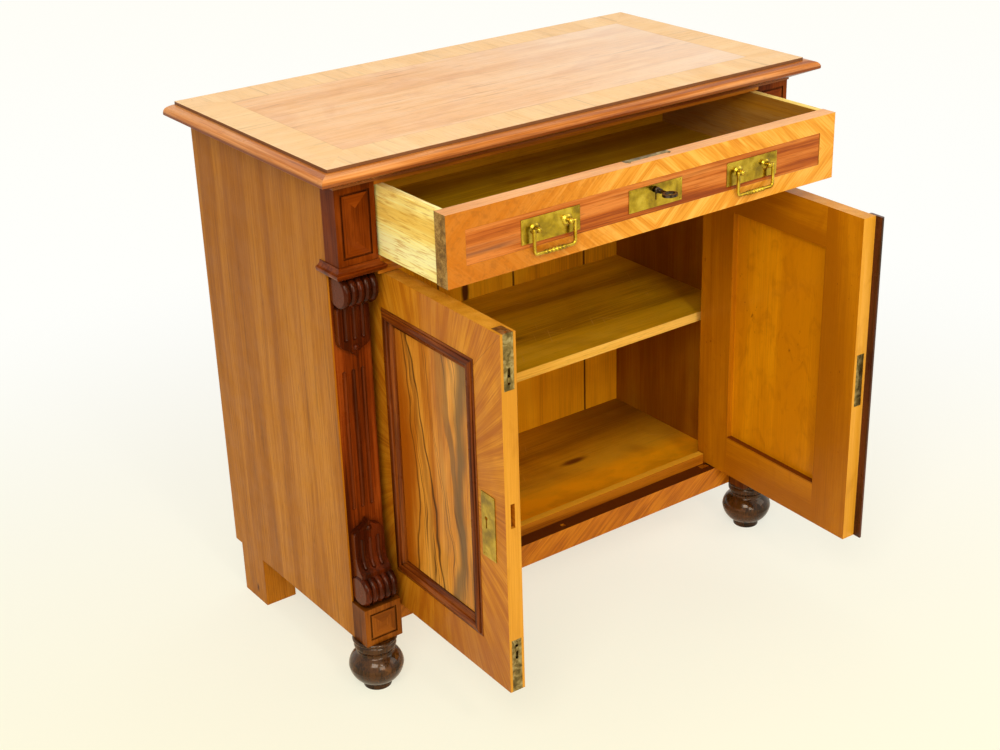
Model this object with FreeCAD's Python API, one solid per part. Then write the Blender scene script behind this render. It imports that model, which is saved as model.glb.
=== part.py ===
import FreeCAD
import Part
import os
import math

# Low cabinet: one wide drawer over two panelled doors, between fluted corner pilasters with reeded scroll
# corbels, on two turned ball feet in front and two square feet behind. Lengths are millimetres.
# The model is drawn with X = 0 in the middle of the front, Y = 0 on the faces of the corner blocks, +Y to the
# back and Z = 0 on the floor, with the drawer shut and the doors closed. The moving pieces are then turned and
# slid to the rest pose, and everything is shifted along Y so that the origin lies under the middle of the
# whole object.

# Carcass
case_width = 930.0
case_depth = 462.0
block_width = 70.0
block_depth = 40.0
foot_height = 97.5
base_block_height = 70.5
pilaster_height = 586.5
capital_height = 19.5
upper_block_height = 123.0
side_thick = 20.0
post_width = 50.0
post_depth = 52.0
pilaster_thick = 12.0
corner_lip = 3.0
bottom_thick = 18.0
back_inset = 20.0
back_thick = 12.0
back_board_width = 179.0
back_board_gap = 0.8
overrun = 5.0

# Top
slab_thick = 34.0
top_panel_thick = 5.0
top_panel_inset = 22.5
top_back_overhang = 13.5
moulding_reach = 40.5
moulding_foot_reach = 2.0
moulding_foot_height = 3.2
moulding_under_reach = 39.0
moulding_under_height = 19.2
moulding_nose_low = 20.4
moulding_nose_high = 24.4
moulding_curl_reach = 34.0
moulding_curl_height = 31.9
moulding_flat_reach = 17.5
moulding_bow = 1.2

# Rails, shelf and runners
apron_height = 44.0
apron_depth = 29.0
stop_lip_height = 46.5
stop_lip_depth = 15.0
stop_lip_clear = 3.0
rail_drop = 8.0
rail_thick = 30.0
rail_setback = 4.0
rail_depth = 88.0
rail_bead_radius = 5.5
top_rail_thick = 6.5
top_rail_depth = 60.0
shelf_height = 445.0
shelf_thick = 18.0
shelf_setback = 107.0
bearer_width = 20.0
bearer_height = 20.0
bearer_setback = 5.0
runner_width = 70.0
runner_thick = 18.0
guide_height = 18.0

# Corner blocks, capitals and corbels
groove_inset_x = 9.0
groove_inset_z = 10.0
groove_width = 3.5
groove_depth = 2.5
capital_reach = 9.5
capital_return = 15.0
capital_swell_reach = 6.6
capital_swell_height = 2.3
capital_nose_low = 7.5
capital_nose_high = 10.5
capital_cove_reach = 3.6
capital_cove_height = 13.6
capital_cove_top = 17.0
capital_fillet = 1.5
corbel_width = 62.0
corbel_inset = 4.0
roll_radius = 27.3
roll_front = 5.7
reed_count = 5
reed_rise = 4.2
tongue_width = 56.5
tongue_thick = 13.0
tongue_corner = 9.0
tongue_point = 28.7
tongue_swell_out = 23.2
tongue_swell_drop = 10.9
tongue_turn_drop = 14.9
tongue_dip_out = 5.6
tongue_dip_drop = 20.7
upper_corbel_height = 143.0
lower_corbel_height = 152.0
scroll_bend_radius = 48.0
scroll_bend_angle = 47.0
scroll_bend_height = 94.0
flute_count = 3
tongue_flute_radius = 4.5
tongue_flute_pitch = 15.5
upper_flute_from_tip = 32.0
lower_flute_from_tip = 38.0
flute_bend_angle = 33.0
flute_sink = 0.4
pilaster_flute_radius = 4.0
pilaster_flute_pitch = 17.0
pilaster_flute_bottom = 173.0
pilaster_flute_length = 240.0
pellet_radius = 5.0
pellet_rise = 4.0
pellet_from_tip = 16.0

# Feet
ball_sole_radius = 24.0
ball_sole_height = 8.5
ball_ledge_radius = 25.5
ball_ledge_height = 10.5
ball_radius = 47.0
ball_middle_height = 42.0
ball_bulge_radius = 42.3
ball_bulge_height = 15.0
ball_top_radius = 35.0
ball_top_height = 65.0
ball_groove_radius = 31.5
ball_groove_height = 71.0
ball_neck_radius = 33.0
ball_ring_low = 75.5
ball_ring_radius = 36.2
ball_ring_high = 90.0
ball_collar_radius = 38.2
ball_collar_edge = 36.0
ball_inset_x = 31.8
ball_inset_y = 28.0
dowel_radius = 11.0
dowel_length = 30.0
dowel_fit = 0.05
rear_foot_width = 60.0
rear_foot_depth = 80.0
rear_foot_inset = 22.4

# Doors
door_side_gap = 2.0
door_end_gap = 1.5
door_meet_gap = 2.0
door_thick = 27.0
stile_width = 82.0
bottom_rail_height = 79.0
top_rail_height = 73.0
panel_setback = 6.0
panel_thick = 10.0
panel_groove = 8.0
panel_moulding_width = 26.0
panel_moulding_lap = 14.0
panel_moulding_lip = 1.8
panel_moulding_cove_out = 4.2
panel_moulding_cove_up = 2.7
panel_moulding_bead_start = 8.8
panel_moulding_bead_foot = 3.2
panel_moulding_bead_top = 14.6
panel_moulding_rise = 5.5
panel_moulding_bead_end = 21.8
panel_moulding_step = 1.6
panel_moulding_edge = 0.9
hinge_from_edge = 30.0
hinge_from_face = 20.0
hinge_edge_radius = 14.5
hinge_plate_length = 55.0
hinge_plate_width = 12.0
hinge_plate_thick = 2.5
hinge_pin_radius = 3.0
hinge_pin_fit = 0.08
hinge_pin_length = 12.0
door_plate_width = 35.0
door_plate_height = 110.0
door_plate_from_edge = 43.5
door_plate_centre = 276.0
plate_thick = 1.2
door_keyhole_from_edge = 49.0
door_keyhole_height = 288.0
keyhole_radius = 3.5
keyhole_slot = 2.6
keyhole_drop = 17.0
keyhole_depth = 7.0
astragal_thick = 6.0
astragal_width = 30.0
astragal_lap = 14.5
astragal_clear = 0.3
astragal_round = 3.0

# Lock of the right door and flush bolts of the left one
lock_centre_depth = 13.5
face_plate_width = 16.0
face_plate_height = 97.0
face_plate_thick = 2.5
face_plate_bottom = 260.0
lock_case_depth = 45.0
lock_case_height = 79.0
lock_case_thick = 12.0
lock_wall = 1.5
door_bolt_height = 36.0
door_bolt_thick = 6.0
door_bolt_length = 22.0
bolt_fit = 0.1
mortise_height = 41.0
mortise_width = 7.5
mortise_depth = 12.0
flush_plate_width = 18.0
flush_plate_thick = 2.0
top_flush_length = 89.0
bottom_flush_length = 93.0
flush_return = 28.0
flush_bolt_size = 6.0
flush_bolt_setback = 3.2
flush_bolt_clear = 1.0
flush_bolt_from_end = 12.0
knob_from_end = 17.0
knob_height = 8.0
knob_width = 5.0
knob_proud = 0.5
flush_travel = 10.0
flush_tip_clear = 0.3
keep_depth = 11.5
keep_clear = 1.0

# Drawer
drawer_run_gap = 0.5
drawer_top_gap = 1.0
drawer_end_gap = 2.0
drawer_front_thick = 28.0
band_height = 29.0
band_end = 34.0
field_sink = 1.0
drawer_side_thick = 13.0
drawer_side_inset = 2.5
guide_gap = 1.0
drawer_back_clear = 12.0
drawer_back_inset = 6.0
drawer_back_thick = 12.0
drawer_bottom_thick = 6.0
drawer_bottom_rise = 6.0
drawer_bottom_groove = 6.0
drawer_plate_width = 108.0
drawer_plate_height = 37.0
drawer_plate_bottom = 37.0
drawer_lock_width = 76.0
drawer_lock_height = 64.0
drawer_lock_thick = 11.0
selvedge_width = 92.0
selvedge_thick = 2.0
drawer_bolt_width = 26.0
drawer_bolt_height = 32.0
drawer_bolt_travel = 6.0
key_rise = 65.0
key_stem_radius = 3.0
key_length = 43.0
key_barrel_radius = 1.55
lock_pin_radius = 1.45
key_bit_reach = 12.0
key_bit_width = 5.0
key_bit_thick = 2.2
key_end_clear = 1.0
key_collar_radius = 5.2
key_collar_length = 5.0
key_collar_gap = 1.2
key_bead_radius = 4.2
key_bead_length = 2.2
key_bow_width = 27.0
key_bow_length = 21.0
key_bow_thick = 4.2
key_bow_bar = 4.6

# Handles
handle_from_middle = 205.0
handle_plate_width = 110.0
handle_plate_height = 39.0
handle_plate_bottom = 35.5
handle_axis_rise = 57.0
boss_spacing = 60.0
boss_dome_radius = 9.5
boss_dome_rise = 3.2
boss_dome_bulge = 6.8
boss_dome_bulge_rise = 2.6
boss_neck_radius = 3.6
boss_head_radius = 5.0
boss_stand_off = 9.0
boss_nut_radius = 6.0
boss_nut_length = 4.0
boss_shank_radius = 2.5
bail_bar_radius = 2.9
bail_pin_radius = 2.0
bail_pin_fit = 0.08
bail_arm_from_boss = 8.3
bail_drop = 37.0
bail_corner_radius = 6.0
bail_pin_inner = 3.0
bail_bead_radius = 4.0
bail_bead_length = 6.6
bail_bead_count = 6

# Rest pose: the drawer stands pulled out and both doors stand open
drawer_pull = 183.0
left_door_angle = 91.0
right_door_angle = 88.4

# Places that follow from the sizes
half_case = case_width / 2
post_inner = half_case - block_width
side_inner = half_case - side_thick
block_top = foot_height + base_block_height
capital_bottom = block_top + pilaster_height
capital_top = capital_bottom + capital_height
case_top = capital_top + upper_block_height
slab_top = case_top + slab_thick
post_back = block_depth + post_depth
back_inner = case_depth - back_inset
back_edge = case_depth + top_back_overhang
apron_top = foot_height + apron_height
apron_back = block_depth + apron_depth
bottom_top = foot_height + bottom_thick
rail_bottom = capital_bottom - rail_drop
rail_top = rail_bottom + rail_thick
rail_back = rail_setback + rail_depth
top_rail_bottom = case_top - top_rail_thick
door_bottom = apron_top + door_end_gap
door_top = rail_bottom - door_end_gap
door_hinge_edge = post_inner - door_side_gap
door_width = door_hinge_edge - door_meet_gap / 2
door_back = block_depth + door_thick
pivot_x = door_hinge_edge - hinge_from_edge
pivot_y = block_depth + hinge_from_face
opening_bottom = door_bottom + bottom_rail_height
opening_top = door_top - top_rail_height
drawer_bottom_edge = rail_top + drawer_run_gap
drawer_top_edge = top_rail_bottom - drawer_top_gap
drawer_half = post_inner - drawer_end_gap
drawer_side_outer = drawer_half - drawer_side_inset
drawer_side_inner = drawer_side_outer - drawer_side_thick
drawer_rear = back_inner - drawer_back_clear
lock_y = block_depth + lock_centre_depth
key_z = drawer_bottom_edge + key_rise
handle_z = drawer_bottom_edge + handle_axis_rise
door_reach = door_width - hinge_from_edge + astragal_lap
front_reach = pivot_y - door_reach * math.sin(math.radians(right_door_angle))
front_reach -= (hinge_from_face + astragal_thick) * math.cos(math.radians(right_door_angle))
frame_shift = -(back_edge + front_reach) / 2


def vec(x, y, z):
    return FreeCAD.Vector(x, y, z)


def box(x, y, z):
    """A block between two places on each axis."""
    corner = vec(min(x), min(y), min(z))
    return Part.makeBox(abs(x[1] - x[0]), abs(y[1] - y[0]), abs(z[1] - z[0]), corner)


def rod(start, end, radius):
    """A round bar between two points."""
    return Part.makeCylinder(radius, (end - start).Length, start, end - start)


def joined(shapes):
    """One solid from pieces that share faces."""
    return shapes[0].fuse(shapes[1:]).removeSplitter()


def mirrored(shape):
    """The same piece on the other side of the cabinet."""
    return shape.mirror(vec(0, 0, 0), vec(1, 0, 0))


def outline(steps, place):
    """A closed wire through corners (a, b) and arcs (through a, through b, end a, end b)."""
    edges = []
    here = place(*steps[0])
    for step in steps[1:]:
        end = place(*step[-2:])
        if len(step) == 4:
            edges.append(Part.Arc(here, place(*step[:2]), end).toShape())
        else:
            edges.append(Part.LineSegment(here, end).toShape())
        here = end
    edges.append(Part.LineSegment(here, place(*steps[0])).toShape())
    return Part.Wire(edges)


def slab(steps, place, along):
    """A flat outline thickened along a vector."""
    return Part.Face(outline(steps, place)).extrude(along)


def turned(steps, base, axis):
    """A profile of (radius, length) steps turned about an axis from a base point."""
    axis = axis.normalize()
    side = vec(0, 0, 1) if abs(axis.z) < abs(axis.x) + abs(axis.y) else vec(1, 0, 0)
    profile = outline(steps, lambda r, h: base + side * r + axis * h)
    return Part.Face(profile).revolve(base, axis, 360)


def mitred(steps, place, path):
    """A moulding whose profile follows a path with mitred corners."""
    sweep = Part.BRepOffsetAPI.MakePipeShell(Part.makePolygon(path))
    sweep.setTransitionMode(1)
    sweep.add(outline(steps, place))
    sweep.build()
    sweep.makeSolid()
    return Part.Solid(sweep.shape())


def framed_groove(x, y, z):
    """A thin rectangular groove cut into a front face, inset from its edges."""
    outer_x = (x[0] + groove_inset_x, x[1] - groove_inset_x)
    outer_z = (z[0] + groove_inset_z, z[1] - groove_inset_z)
    inner_x = (outer_x[0] + groove_width, outer_x[1] - groove_width)
    inner_z = (outer_z[0] + groove_width, outer_z[1] - groove_width)
    deep = (y - overrun, y + groove_depth)
    return box(outer_x, deep, outer_z).cut(box(inner_x, deep, inner_z))


# Top

def top_board():
    return box((-half_case, half_case), (0, back_edge), (case_top, slab_top))


def top_moulding():
    nose_middle = (moulding_nose_high + moulding_curl_height + moulding_bow) / 2
    nose_reach = (moulding_reach + moulding_curl_reach) / 2 + moulding_bow
    back_middle = (moulding_curl_height + slab_thick) / 2 + moulding_bow / 2
    back_reach = (moulding_curl_reach + moulding_flat_reach) / 2
    steps = [
        (0, 0),
        (moulding_foot_reach, 0),
        (moulding_foot_reach, moulding_foot_height),
        (moulding_under_reach, moulding_under_height),
        (moulding_reach, moulding_nose_low),
        (moulding_reach, moulding_nose_high),
        (nose_reach, nose_middle, moulding_curl_reach, moulding_curl_height),
        (back_reach, back_middle, moulding_flat_reach, slab_thick),
        (0, slab_thick),
    ]
    path = [
        vec(-half_case, back_edge, case_top),
        vec(-half_case, 0, case_top),
        vec(half_case, 0, case_top),
        vec(half_case, back_edge, case_top),
    ]
    return mitred(steps, lambda a, b: vec(-half_case - a, back_edge, case_top + b), path)


def top_panel():
    half = half_case + moulding_reach - top_panel_inset
    front = top_panel_inset - moulding_reach
    return box((-half, half), (front, back_edge), (slab_top, slab_top + top_panel_thick))


# Carcass

def side_panel():
    panel = box((side_inner, half_case), (block_depth, case_depth), (foot_height, case_top))
    rebate_x = (side_inner - overrun, half_case - corner_lip)
    rebate = box(rebate_x, (0, block_depth + pilaster_thick), (block_top, capital_bottom))
    return panel.cut(rebate)


def corner_post():
    post = box((post_inner, post_inner + post_width), (block_depth, post_back), (foot_height, case_top))
    behind = block_depth + pilaster_thick
    rebate = box((0, half_case), (0, behind), (block_top, capital_bottom))
    return post.cut(rebate)


def stopped_flute(x, y, bottom, top, radius):
    """A round-ended upright flute cutter with its axis on the given line."""
    ends = [Part.makeSphere(radius, vec(x, y, z)) for z in (bottom, top)]
    return rod(vec(x, y, bottom), vec(x, y, top), radius).fuse(ends)


def pilaster():
    x = (post_inner, half_case - corner_lip)
    board = box(x, (block_depth, block_depth + pilaster_thick), (block_top, capital_bottom))
    middle = half_case - block_width / 2
    low = block_top + pilaster_flute_bottom
    for number in range(flute_count):
        flute_x = middle + (number - (flute_count - 1) / 2) * pilaster_flute_pitch
        cutter_y = block_depth - flute_sink
        high = low + pilaster_flute_length
        board = board.cut(stopped_flute(flute_x, cutter_y, low, high, pilaster_flute_radius))
    return board


def upper_block():
    x = (post_inner, half_case)
    z = (capital_top, case_top)
    return box(x, (0, block_depth), z).cut(framed_groove(x, 0, z))


def base_block():
    x = (post_inner, half_case)
    z = (foot_height, block_top)
    block = box(x, (0, block_depth), z).cut(framed_groove(x, 0, z))
    centre = vec(half_case - ball_inset_x, ball_inset_y, foot_height - overrun)
    top = vec(centre.x, centre.y, foot_height + dowel_length)
    return block.cut(rod(centre, top, dowel_radius + dowel_fit))


def capital():
    core = box((post_inner, half_case), (0, block_depth), (capital_bottom, capital_top))
    steps = [
        (0, 0),
        (capital_swell_reach, capital_swell_height, capital_reach, capital_nose_low),
        (capital_reach, capital_nose_high),
        (capital_cove_reach, capital_cove_height, capital_fillet, capital_cove_top),
        (capital_fillet, capital_height),
        (0, capital_height),
    ]
    back = block_depth + capital_return
    path = [
        vec(half_case, back, capital_bottom),
        vec(half_case, 0, capital_bottom),
        vec(post_inner, 0, capital_bottom),
        vec(post_inner, rail_setback, capital_bottom),
    ]
    moulding = mitred(steps, lambda a, b: vec(half_case + a, back, capital_bottom + b), path)
    return joined([core, moulding])


def reeded_roll(middle, centre_z):
    """A turned roll lying along X, with reeds round it, as far back as the pilaster face."""
    half = corbel_width / 2
    reed = corbel_width / reed_count
    root = roll_radius - reed_rise
    steps = [(0, -half), (root, -half)]
    for number in range(reed_count):
        left = number * reed - half
        steps.append((roll_radius, left + reed / 2, root, left + reed))
    steps.append((0, half))
    centre_y = roll_radius - roll_front
    roll = turned(steps, vec(middle, centre_y, centre_z), vec(1, 0, 0))
    keep_z = (centre_z - roll_radius, centre_z + roll_radius)
    keep = box((middle - half, middle + half), (-roll_front, block_depth), keep_z)
    return roll.common(keep)


def corbel_middle():
    return half_case - corbel_inset - corbel_width / 2


def tongue(middle, root_z, tip_z, face):
    """A tongue of the corbel on the pilaster, from its rounded root to its ogee point."""
    half = tongue_width / 2
    inner = half - tongue_corner
    ease = tongue_corner * (1 - math.cos(math.radians(45)))
    way = math.copysign(1, tip_z - root_z)
    shoulder = tip_z - way * tongue_point
    swell_z = shoulder + way * tongue_swell_drop
    turn_z = shoulder + way * tongue_turn_drop
    dip_z = shoulder + way * tongue_dip_drop
    corner_z = root_z + way * tongue_corner
    steps = [
        (-half, corner_z),
        (ease - half, root_z + way * ease, -inner, root_z),
        (inner, root_z),
        (half - ease, root_z + way * ease, half, corner_z),
        (half, shoulder),
        (tongue_swell_out, swell_z, half / 2, turn_z),
        (tongue_dip_out, dip_z, 0, tip_z),
        (-tongue_dip_out, dip_z, -half / 2, turn_z),
        (-tongue_swell_out, swell_z, -half, shoulder),
    ]
    body = slab(steps, lambda a, b: vec(middle + a, face, b), vec(0, block_depth - face, 0))
    pellet_y = face + pellet_radius - pellet_rise
    pellet = Part.makeSphere(pellet_radius, vec(middle, pellet_y, tip_z - way * pellet_from_tip))
    return body.fuse(pellet)


def flute_places(middle):
    shift = (flute_count - 1) / 2
    return [middle + (number - shift) * tongue_flute_pitch for number in range(flute_count)]


def upper_corbel():
    middle = corbel_middle()
    face = block_depth - tongue_thick
    roll_z = capital_bottom - roll_radius
    root = roll_z - roll_radius
    tip = capital_bottom - upper_corbel_height
    inner = tongue_width / 2 - tongue_corner
    neck = box((middle - inner, middle + inner), (face, block_depth), (root, roll_z))
    body = joined([tongue(middle, root, tip, face), neck])
    for x in flute_places(middle):
        low = tip + upper_flute_from_tip
        body = body.cut(stopped_flute(x, face - flute_sink, low, roll_z, tongue_flute_radius))
    return body.fuse(reeded_roll(middle, roll_z))


def bent_flute(x, face, bend_z, top):
    """A flute cutter that runs down the tongue and follows its outward bend."""
    start = vec(x, face - flute_sink, bend_z)
    straight = stopped_flute(x, start.y, bend_z, top, tongue_flute_radius)
    circle = Part.Wire(Part.makeCircle(tongue_flute_radius, start, vec(0, 0, 1)))
    hinge = vec(x, face - scroll_bend_radius, bend_z)
    bend = Part.Face(circle).revolve(hinge, vec(-1, 0, 0), flute_bend_angle)
    swing = start.y - hinge.y
    turn = math.radians(flute_bend_angle)
    end = hinge + vec(0, swing * math.cos(turn), -swing * math.sin(turn))
    return straight.fuse([bend, Part.makeSphere(tongue_flute_radius, end)])


def lower_corbel():
    middle = corbel_middle()
    half = tongue_width / 2
    face = block_depth - tongue_thick
    roll_z = block_top + roll_radius
    bend_z = block_top + scroll_bend_height
    tip = block_top + lower_corbel_height
    bend_y = face - scroll_bend_radius
    angle = math.radians(scroll_bend_angle)
    end_y = bend_y + scroll_bend_radius * math.cos(angle)
    end_z = bend_z - scroll_bend_radius * math.sin(angle)
    via_y = bend_y + scroll_bend_radius * math.cos(angle / 2)
    via_z = bend_z - scroll_bend_radius * math.sin(angle / 2)
    steps = [
        (block_depth, bend_z),
        (face, bend_z),
        (via_y, via_z, end_y, end_z),
        (end_y, roll_z),
        (block_depth, roll_z),
    ]
    scroll = slab(steps, lambda a, b: vec(middle - half, a, b), vec(tongue_width, 0, 0))
    body = joined([tongue(middle, bend_z - tongue_corner, tip, face), scroll])
    for x in flute_places(middle):
        body = body.cut(bent_flute(x, face, bend_z, tip - lower_flute_from_tip))
    return body.fuse(reeded_roll(middle, roll_z))


def ball_foot():
    steps = [
        (0, 0),
        (ball_sole_radius, 0),
        (ball_sole_radius, ball_sole_height),
        (ball_ledge_radius, ball_ledge_height),
        (ball_bulge_radius, ball_middle_height - ball_bulge_height, ball_radius, ball_middle_height),
        (ball_bulge_radius, ball_middle_height + ball_bulge_height, ball_top_radius, ball_top_height),
        (ball_groove_radius, ball_groove_height, ball_neck_radius, ball_ring_low),
        (ball_ring_radius, (ball_ring_low + ball_ring_high) / 2, ball_neck_radius, ball_ring_high),
        (ball_collar_radius, (ball_ring_high + foot_height) / 2, ball_collar_edge, foot_height),
        (dowel_radius, foot_height),
        (dowel_radius, foot_height + dowel_length - dowel_fit),
        (0, foot_height + dowel_length - dowel_fit),
    ]
    return turned(steps, vec(half_case - ball_inset_x, ball_inset_y, 0), vec(0, 0, 1))


def rear_foot():
    back = case_depth - rear_foot_inset
    return box((half_case - rear_foot_width, half_case), (back - rear_foot_depth, back), (0, foot_height))


def flush_bolt_x():
    """Middle of the flush bolts, from the middle of the cabinet, with the left door closed."""
    return door_meet_gap / 2 + flush_bolt_setback + flush_bolt_size / 2


def keep_hole(face, way):
    """The hole that a flush bolt of the left door slides into."""
    half = flush_bolt_size / 2 + keep_clear
    x = -flush_bolt_x()
    z = (face - way * overrun, face + way * keep_depth)
    return box((x - half, x + half), (lock_y - half, lock_y + half), z)


def hinge_recess(face, way):
    """Shallow recesses for the hinge plates of both doors in a rail."""
    cuts = []
    for side in (1, -1):
        x = side * pivot_x
        half = hinge_plate_length / 2
        width = hinge_plate_width / 2
        z = (face - way * overrun, face + way * hinge_plate_thick)
        cuts.append(box((x - half, x + half), (pivot_y - width, pivot_y + width), z))
    return cuts


def apron_rail():
    rail = box((-post_inner, post_inner), (block_depth, apron_back), (foot_height, apron_top))
    return rail.cut(hinge_recess(apron_top, -1) + [keep_hole(apron_top, -1)])


def door_stop_lip():
    half = pivot_x - (door_thick - hinge_from_face) - stop_lip_clear
    y = (apron_back, apron_back + stop_lip_depth)
    return box((-half, half), y, (bottom_top, bottom_top + stop_lip_height))


def bottom_board():
    board = box((-side_inner, side_inner), (apron_back, back_inner), (foot_height, bottom_top))
    for side in (1, -1):
        notch = box((side * post_inner, side * half_case), (0, post_back), (0, bottom_top + overrun))
        board = board.cut(notch)
    return board


def drawer_rail():
    rail = box((-post_inner, post_inner), (rail_setback, rail_back), (rail_bottom, rail_top))
    rail = rail.cut(hinge_recess(rail_bottom, 1) + [keep_hole(rail_bottom, 1)])
    half = post_inner - capital_reach
    bead_z = capital_bottom + (capital_nose_low + capital_nose_high) / 2
    ends = [vec(x, rail_setback, bead_z) for x in (-half, half)]
    return rail.fuse(rod(*ends, rail_bead_radius)).removeSplitter()


def top_rail():
    rail = box((-post_inner, post_inner), (0, top_rail_depth), (top_rail_bottom, case_top))
    half = drawer_bolt_width / 2 + keep_clear
    y = drawer_lock_y()
    deep = drawer_lock_thick / 2
    slot_top = drawer_top_edge + drawer_bolt_travel + drawer_top_gap / 2
    return rail.cut(box((-half, half), (y - deep, y + deep), (rail_bottom, slot_top)))


def drawer_runners():
    """Runners with guides under the drawer sides, and kickers above them."""
    pieces = []
    inner = side_inner - runner_width
    guide = drawer_side_outer + guide_gap
    y = (post_back, back_inner)
    for side in (1, -1):
        runner = box((side * inner, side * side_inner), y, (rail_top - runner_thick, rail_top))
        fence = box((side * guide, side * side_inner), y, (rail_top, rail_top + guide_height))
        pieces.append(joined([runner, fence]))
        pieces.append(box((side * inner, side * side_inner), y, (top_rail_bottom, case_top)))
    return Part.makeCompound(pieces)


def shelf():
    z = (shelf_height - shelf_thick, shelf_height)
    return box((-side_inner, side_inner), (shelf_setback, back_inner), z)


def shelf_bearers():
    z = (shelf_height - shelf_thick - bearer_height, shelf_height - shelf_thick)
    y = (shelf_setback + bearer_setback, back_inner)
    sides = [(side * (side_inner - bearer_width), side * side_inner) for side in (1, -1)]
    return Part.makeCompound([box(x, y, z) for x in sides])


def back_boards():
    """Upright boards between the sides, the two outer ones cut narrower to fit."""
    inner_count = int(2 * side_inner // back_board_width)
    first = -inner_count * back_board_width / 2
    seams = [first + number * back_board_width for number in range(inner_count + 1)]
    edges = [-side_inner] + seams + [side_inner]
    boards = []
    for number in range(len(edges) - 1):
        left = edges[number] + (back_board_gap / 2 if number else 0)
        right = edges[number + 1] - (back_board_gap / 2 if number < len(edges) - 2 else 0)
        boards.append(box((left, right), (back_inner, back_inner + back_thick), (foot_height, case_top)))
    return Part.makeCompound(boards)


def case_hinge_plates():
    """Four plates let into the rails, each with the pin that its door turns on."""
    plates = []
    for side in (1, -1):
        for face, way in ((rail_bottom, 1), (apron_top, -1)):
            x = side * pivot_x
            half = hinge_plate_length / 2
            width = hinge_plate_width / 2
            z = (face, face + way * hinge_plate_thick)
            plate = box((x - half, x + half), (pivot_y - width, pivot_y + width), z)
            start = vec(x, pivot_y, face + way * hinge_plate_thick / 2)
            pin = rod(start, vec(x, pivot_y, face - way * hinge_pin_length), hinge_pin_radius)
            plates.append(plate.fuse(pin))
    return Part.makeCompound(plates)


# Doors, drawn closed on the right side of the cabinet and mirrored for the left one

def free_edge_x():
    return door_meet_gap / 2


def opening_x():
    inner = free_edge_x() + stile_width
    return (inner, door_hinge_edge - stile_width)


def door_hinge_box(face, way):
    """Room for a hinge plate in the end of a door."""
    half = hinge_plate_length / 2
    width = hinge_plate_width / 2
    z = (face + way * overrun, face - way * hinge_plate_thick)
    return box((pivot_x - half, pivot_x + half), (pivot_y - width, pivot_y + width), z)


def door_pin_hole(face, way):
    deep = hinge_pin_length + hinge_plate_thick
    start = vec(pivot_x, pivot_y, face + way * overrun)
    return rod(start, vec(pivot_x, pivot_y, face - way * deep), hinge_pin_radius + hinge_pin_fit)


def keyhole_cutter(centre, depth):
    """A round hole with a slot below it, cut along Y."""
    hole = rod(centre, centre + vec(0, depth, 0), keyhole_radius)
    x = (centre.x - keyhole_slot / 2, centre.x + keyhole_slot / 2)
    slot = box(x, (centre.y, centre.y + depth), (centre.z - keyhole_drop, centre.z))
    return hole.fuse(slot)


def door_keyhole():
    x = free_edge_x() + door_keyhole_from_edge
    start = vec(x, block_depth - overrun, door_bottom + door_keyhole_height)
    return keyhole_cutter(start, overrun + keyhole_depth)


def door_frame():
    """Two stiles and two rails of one door, grooved for the panel."""
    y = (block_depth, door_back)
    inner, outer = opening_x()
    groove_y = (block_depth + panel_setback, block_depth + panel_setback + panel_thick)
    groove_x = (inner - panel_groove, outer + panel_groove)
    groove = box(groove_x, groove_y, (opening_bottom - panel_groove, opening_top + panel_groove))
    free_stile = box((free_edge_x(), inner), y, (door_bottom, door_top))
    hinge_stile = box((outer, door_hinge_edge), y, (door_bottom, door_top))
    corner = hinge_edge_radius
    middle = vec(door_hinge_edge - corner, block_depth + corner, door_bottom)
    sharp = box((middle.x, door_hinge_edge), (block_depth, middle.y), (door_bottom, door_top))
    rounded = sharp.common(rod(middle, vec(middle.x, middle.y, door_top), corner))
    hinge_stile = hinge_stile.cut(sharp).fuse(rounded).removeSplitter()
    low_rail = box((inner, outer), y, (door_bottom, opening_bottom))
    high_rail = box((inner, outer), y, (opening_top, door_top))
    ends = ((door_bottom, -1), (door_top, 1))
    hinge_cuts = [door_hinge_box(face, way) for face, way in ends]
    hinge_cuts += [door_pin_hole(face, way) for face, way in ends]
    pieces = [free_stile.cut(door_keyhole()), hinge_stile, low_rail, high_rail]
    return [piece.cut([groove] + hinge_cuts) for piece in pieces]


def door_panel():
    inner, outer = opening_x()
    y = (block_depth + panel_setback, block_depth + panel_setback + panel_thick)
    z = (opening_bottom - panel_groove, opening_top + panel_groove)
    return box((inner - panel_groove, outer + panel_groove), y, z)


def door_moulding():
    """Bolection moulding that stands proud of the frame and steps down to the panel."""
    width = panel_moulding_width
    lap = panel_moulding_lap
    face = panel_setback
    high = face + panel_moulding_rise
    foot = face + panel_moulding_bead_foot
    steps = [
        (0, 0),
        (0, panel_moulding_lip),
        (panel_moulding_cove_out, panel_moulding_cove_up, panel_moulding_bead_start, face),
        (panel_moulding_bead_start, foot),
        (panel_moulding_bead_top, high, panel_moulding_bead_end, foot),
        (panel_moulding_bead_end, face + panel_moulding_step),
        (width, face + panel_moulding_edge),
        (width, face),
        (lap, face),
        (lap, 0),
    ]
    left, right = opening_x()
    inner_left = left + lap
    inner_right = right - lap
    low = opening_bottom + lap
    top = opening_top - lap
    middle = (inner_left + inner_right) / 2
    y = block_depth + panel_setback
    path = [
        vec(middle, y, low),
        vec(inner_right, y, low),
        vec(inner_right, y, top),
        vec(inner_left, y, top),
        vec(inner_left, y, low),
        vec(middle, y, low),
    ]
    return mitred(steps, lambda a, b: vec(middle, y - b, low - a), path)


def door_escutcheon():
    half = door_plate_width / 2
    x = free_edge_x() + door_plate_from_edge
    z = door_bottom + door_plate_centre
    y = (block_depth - plate_thick, block_depth)
    plate = box((x - half, x + half), y, (z - door_plate_height / 2, z + door_plate_height / 2))
    return plate.cut(door_keyhole())


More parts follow.
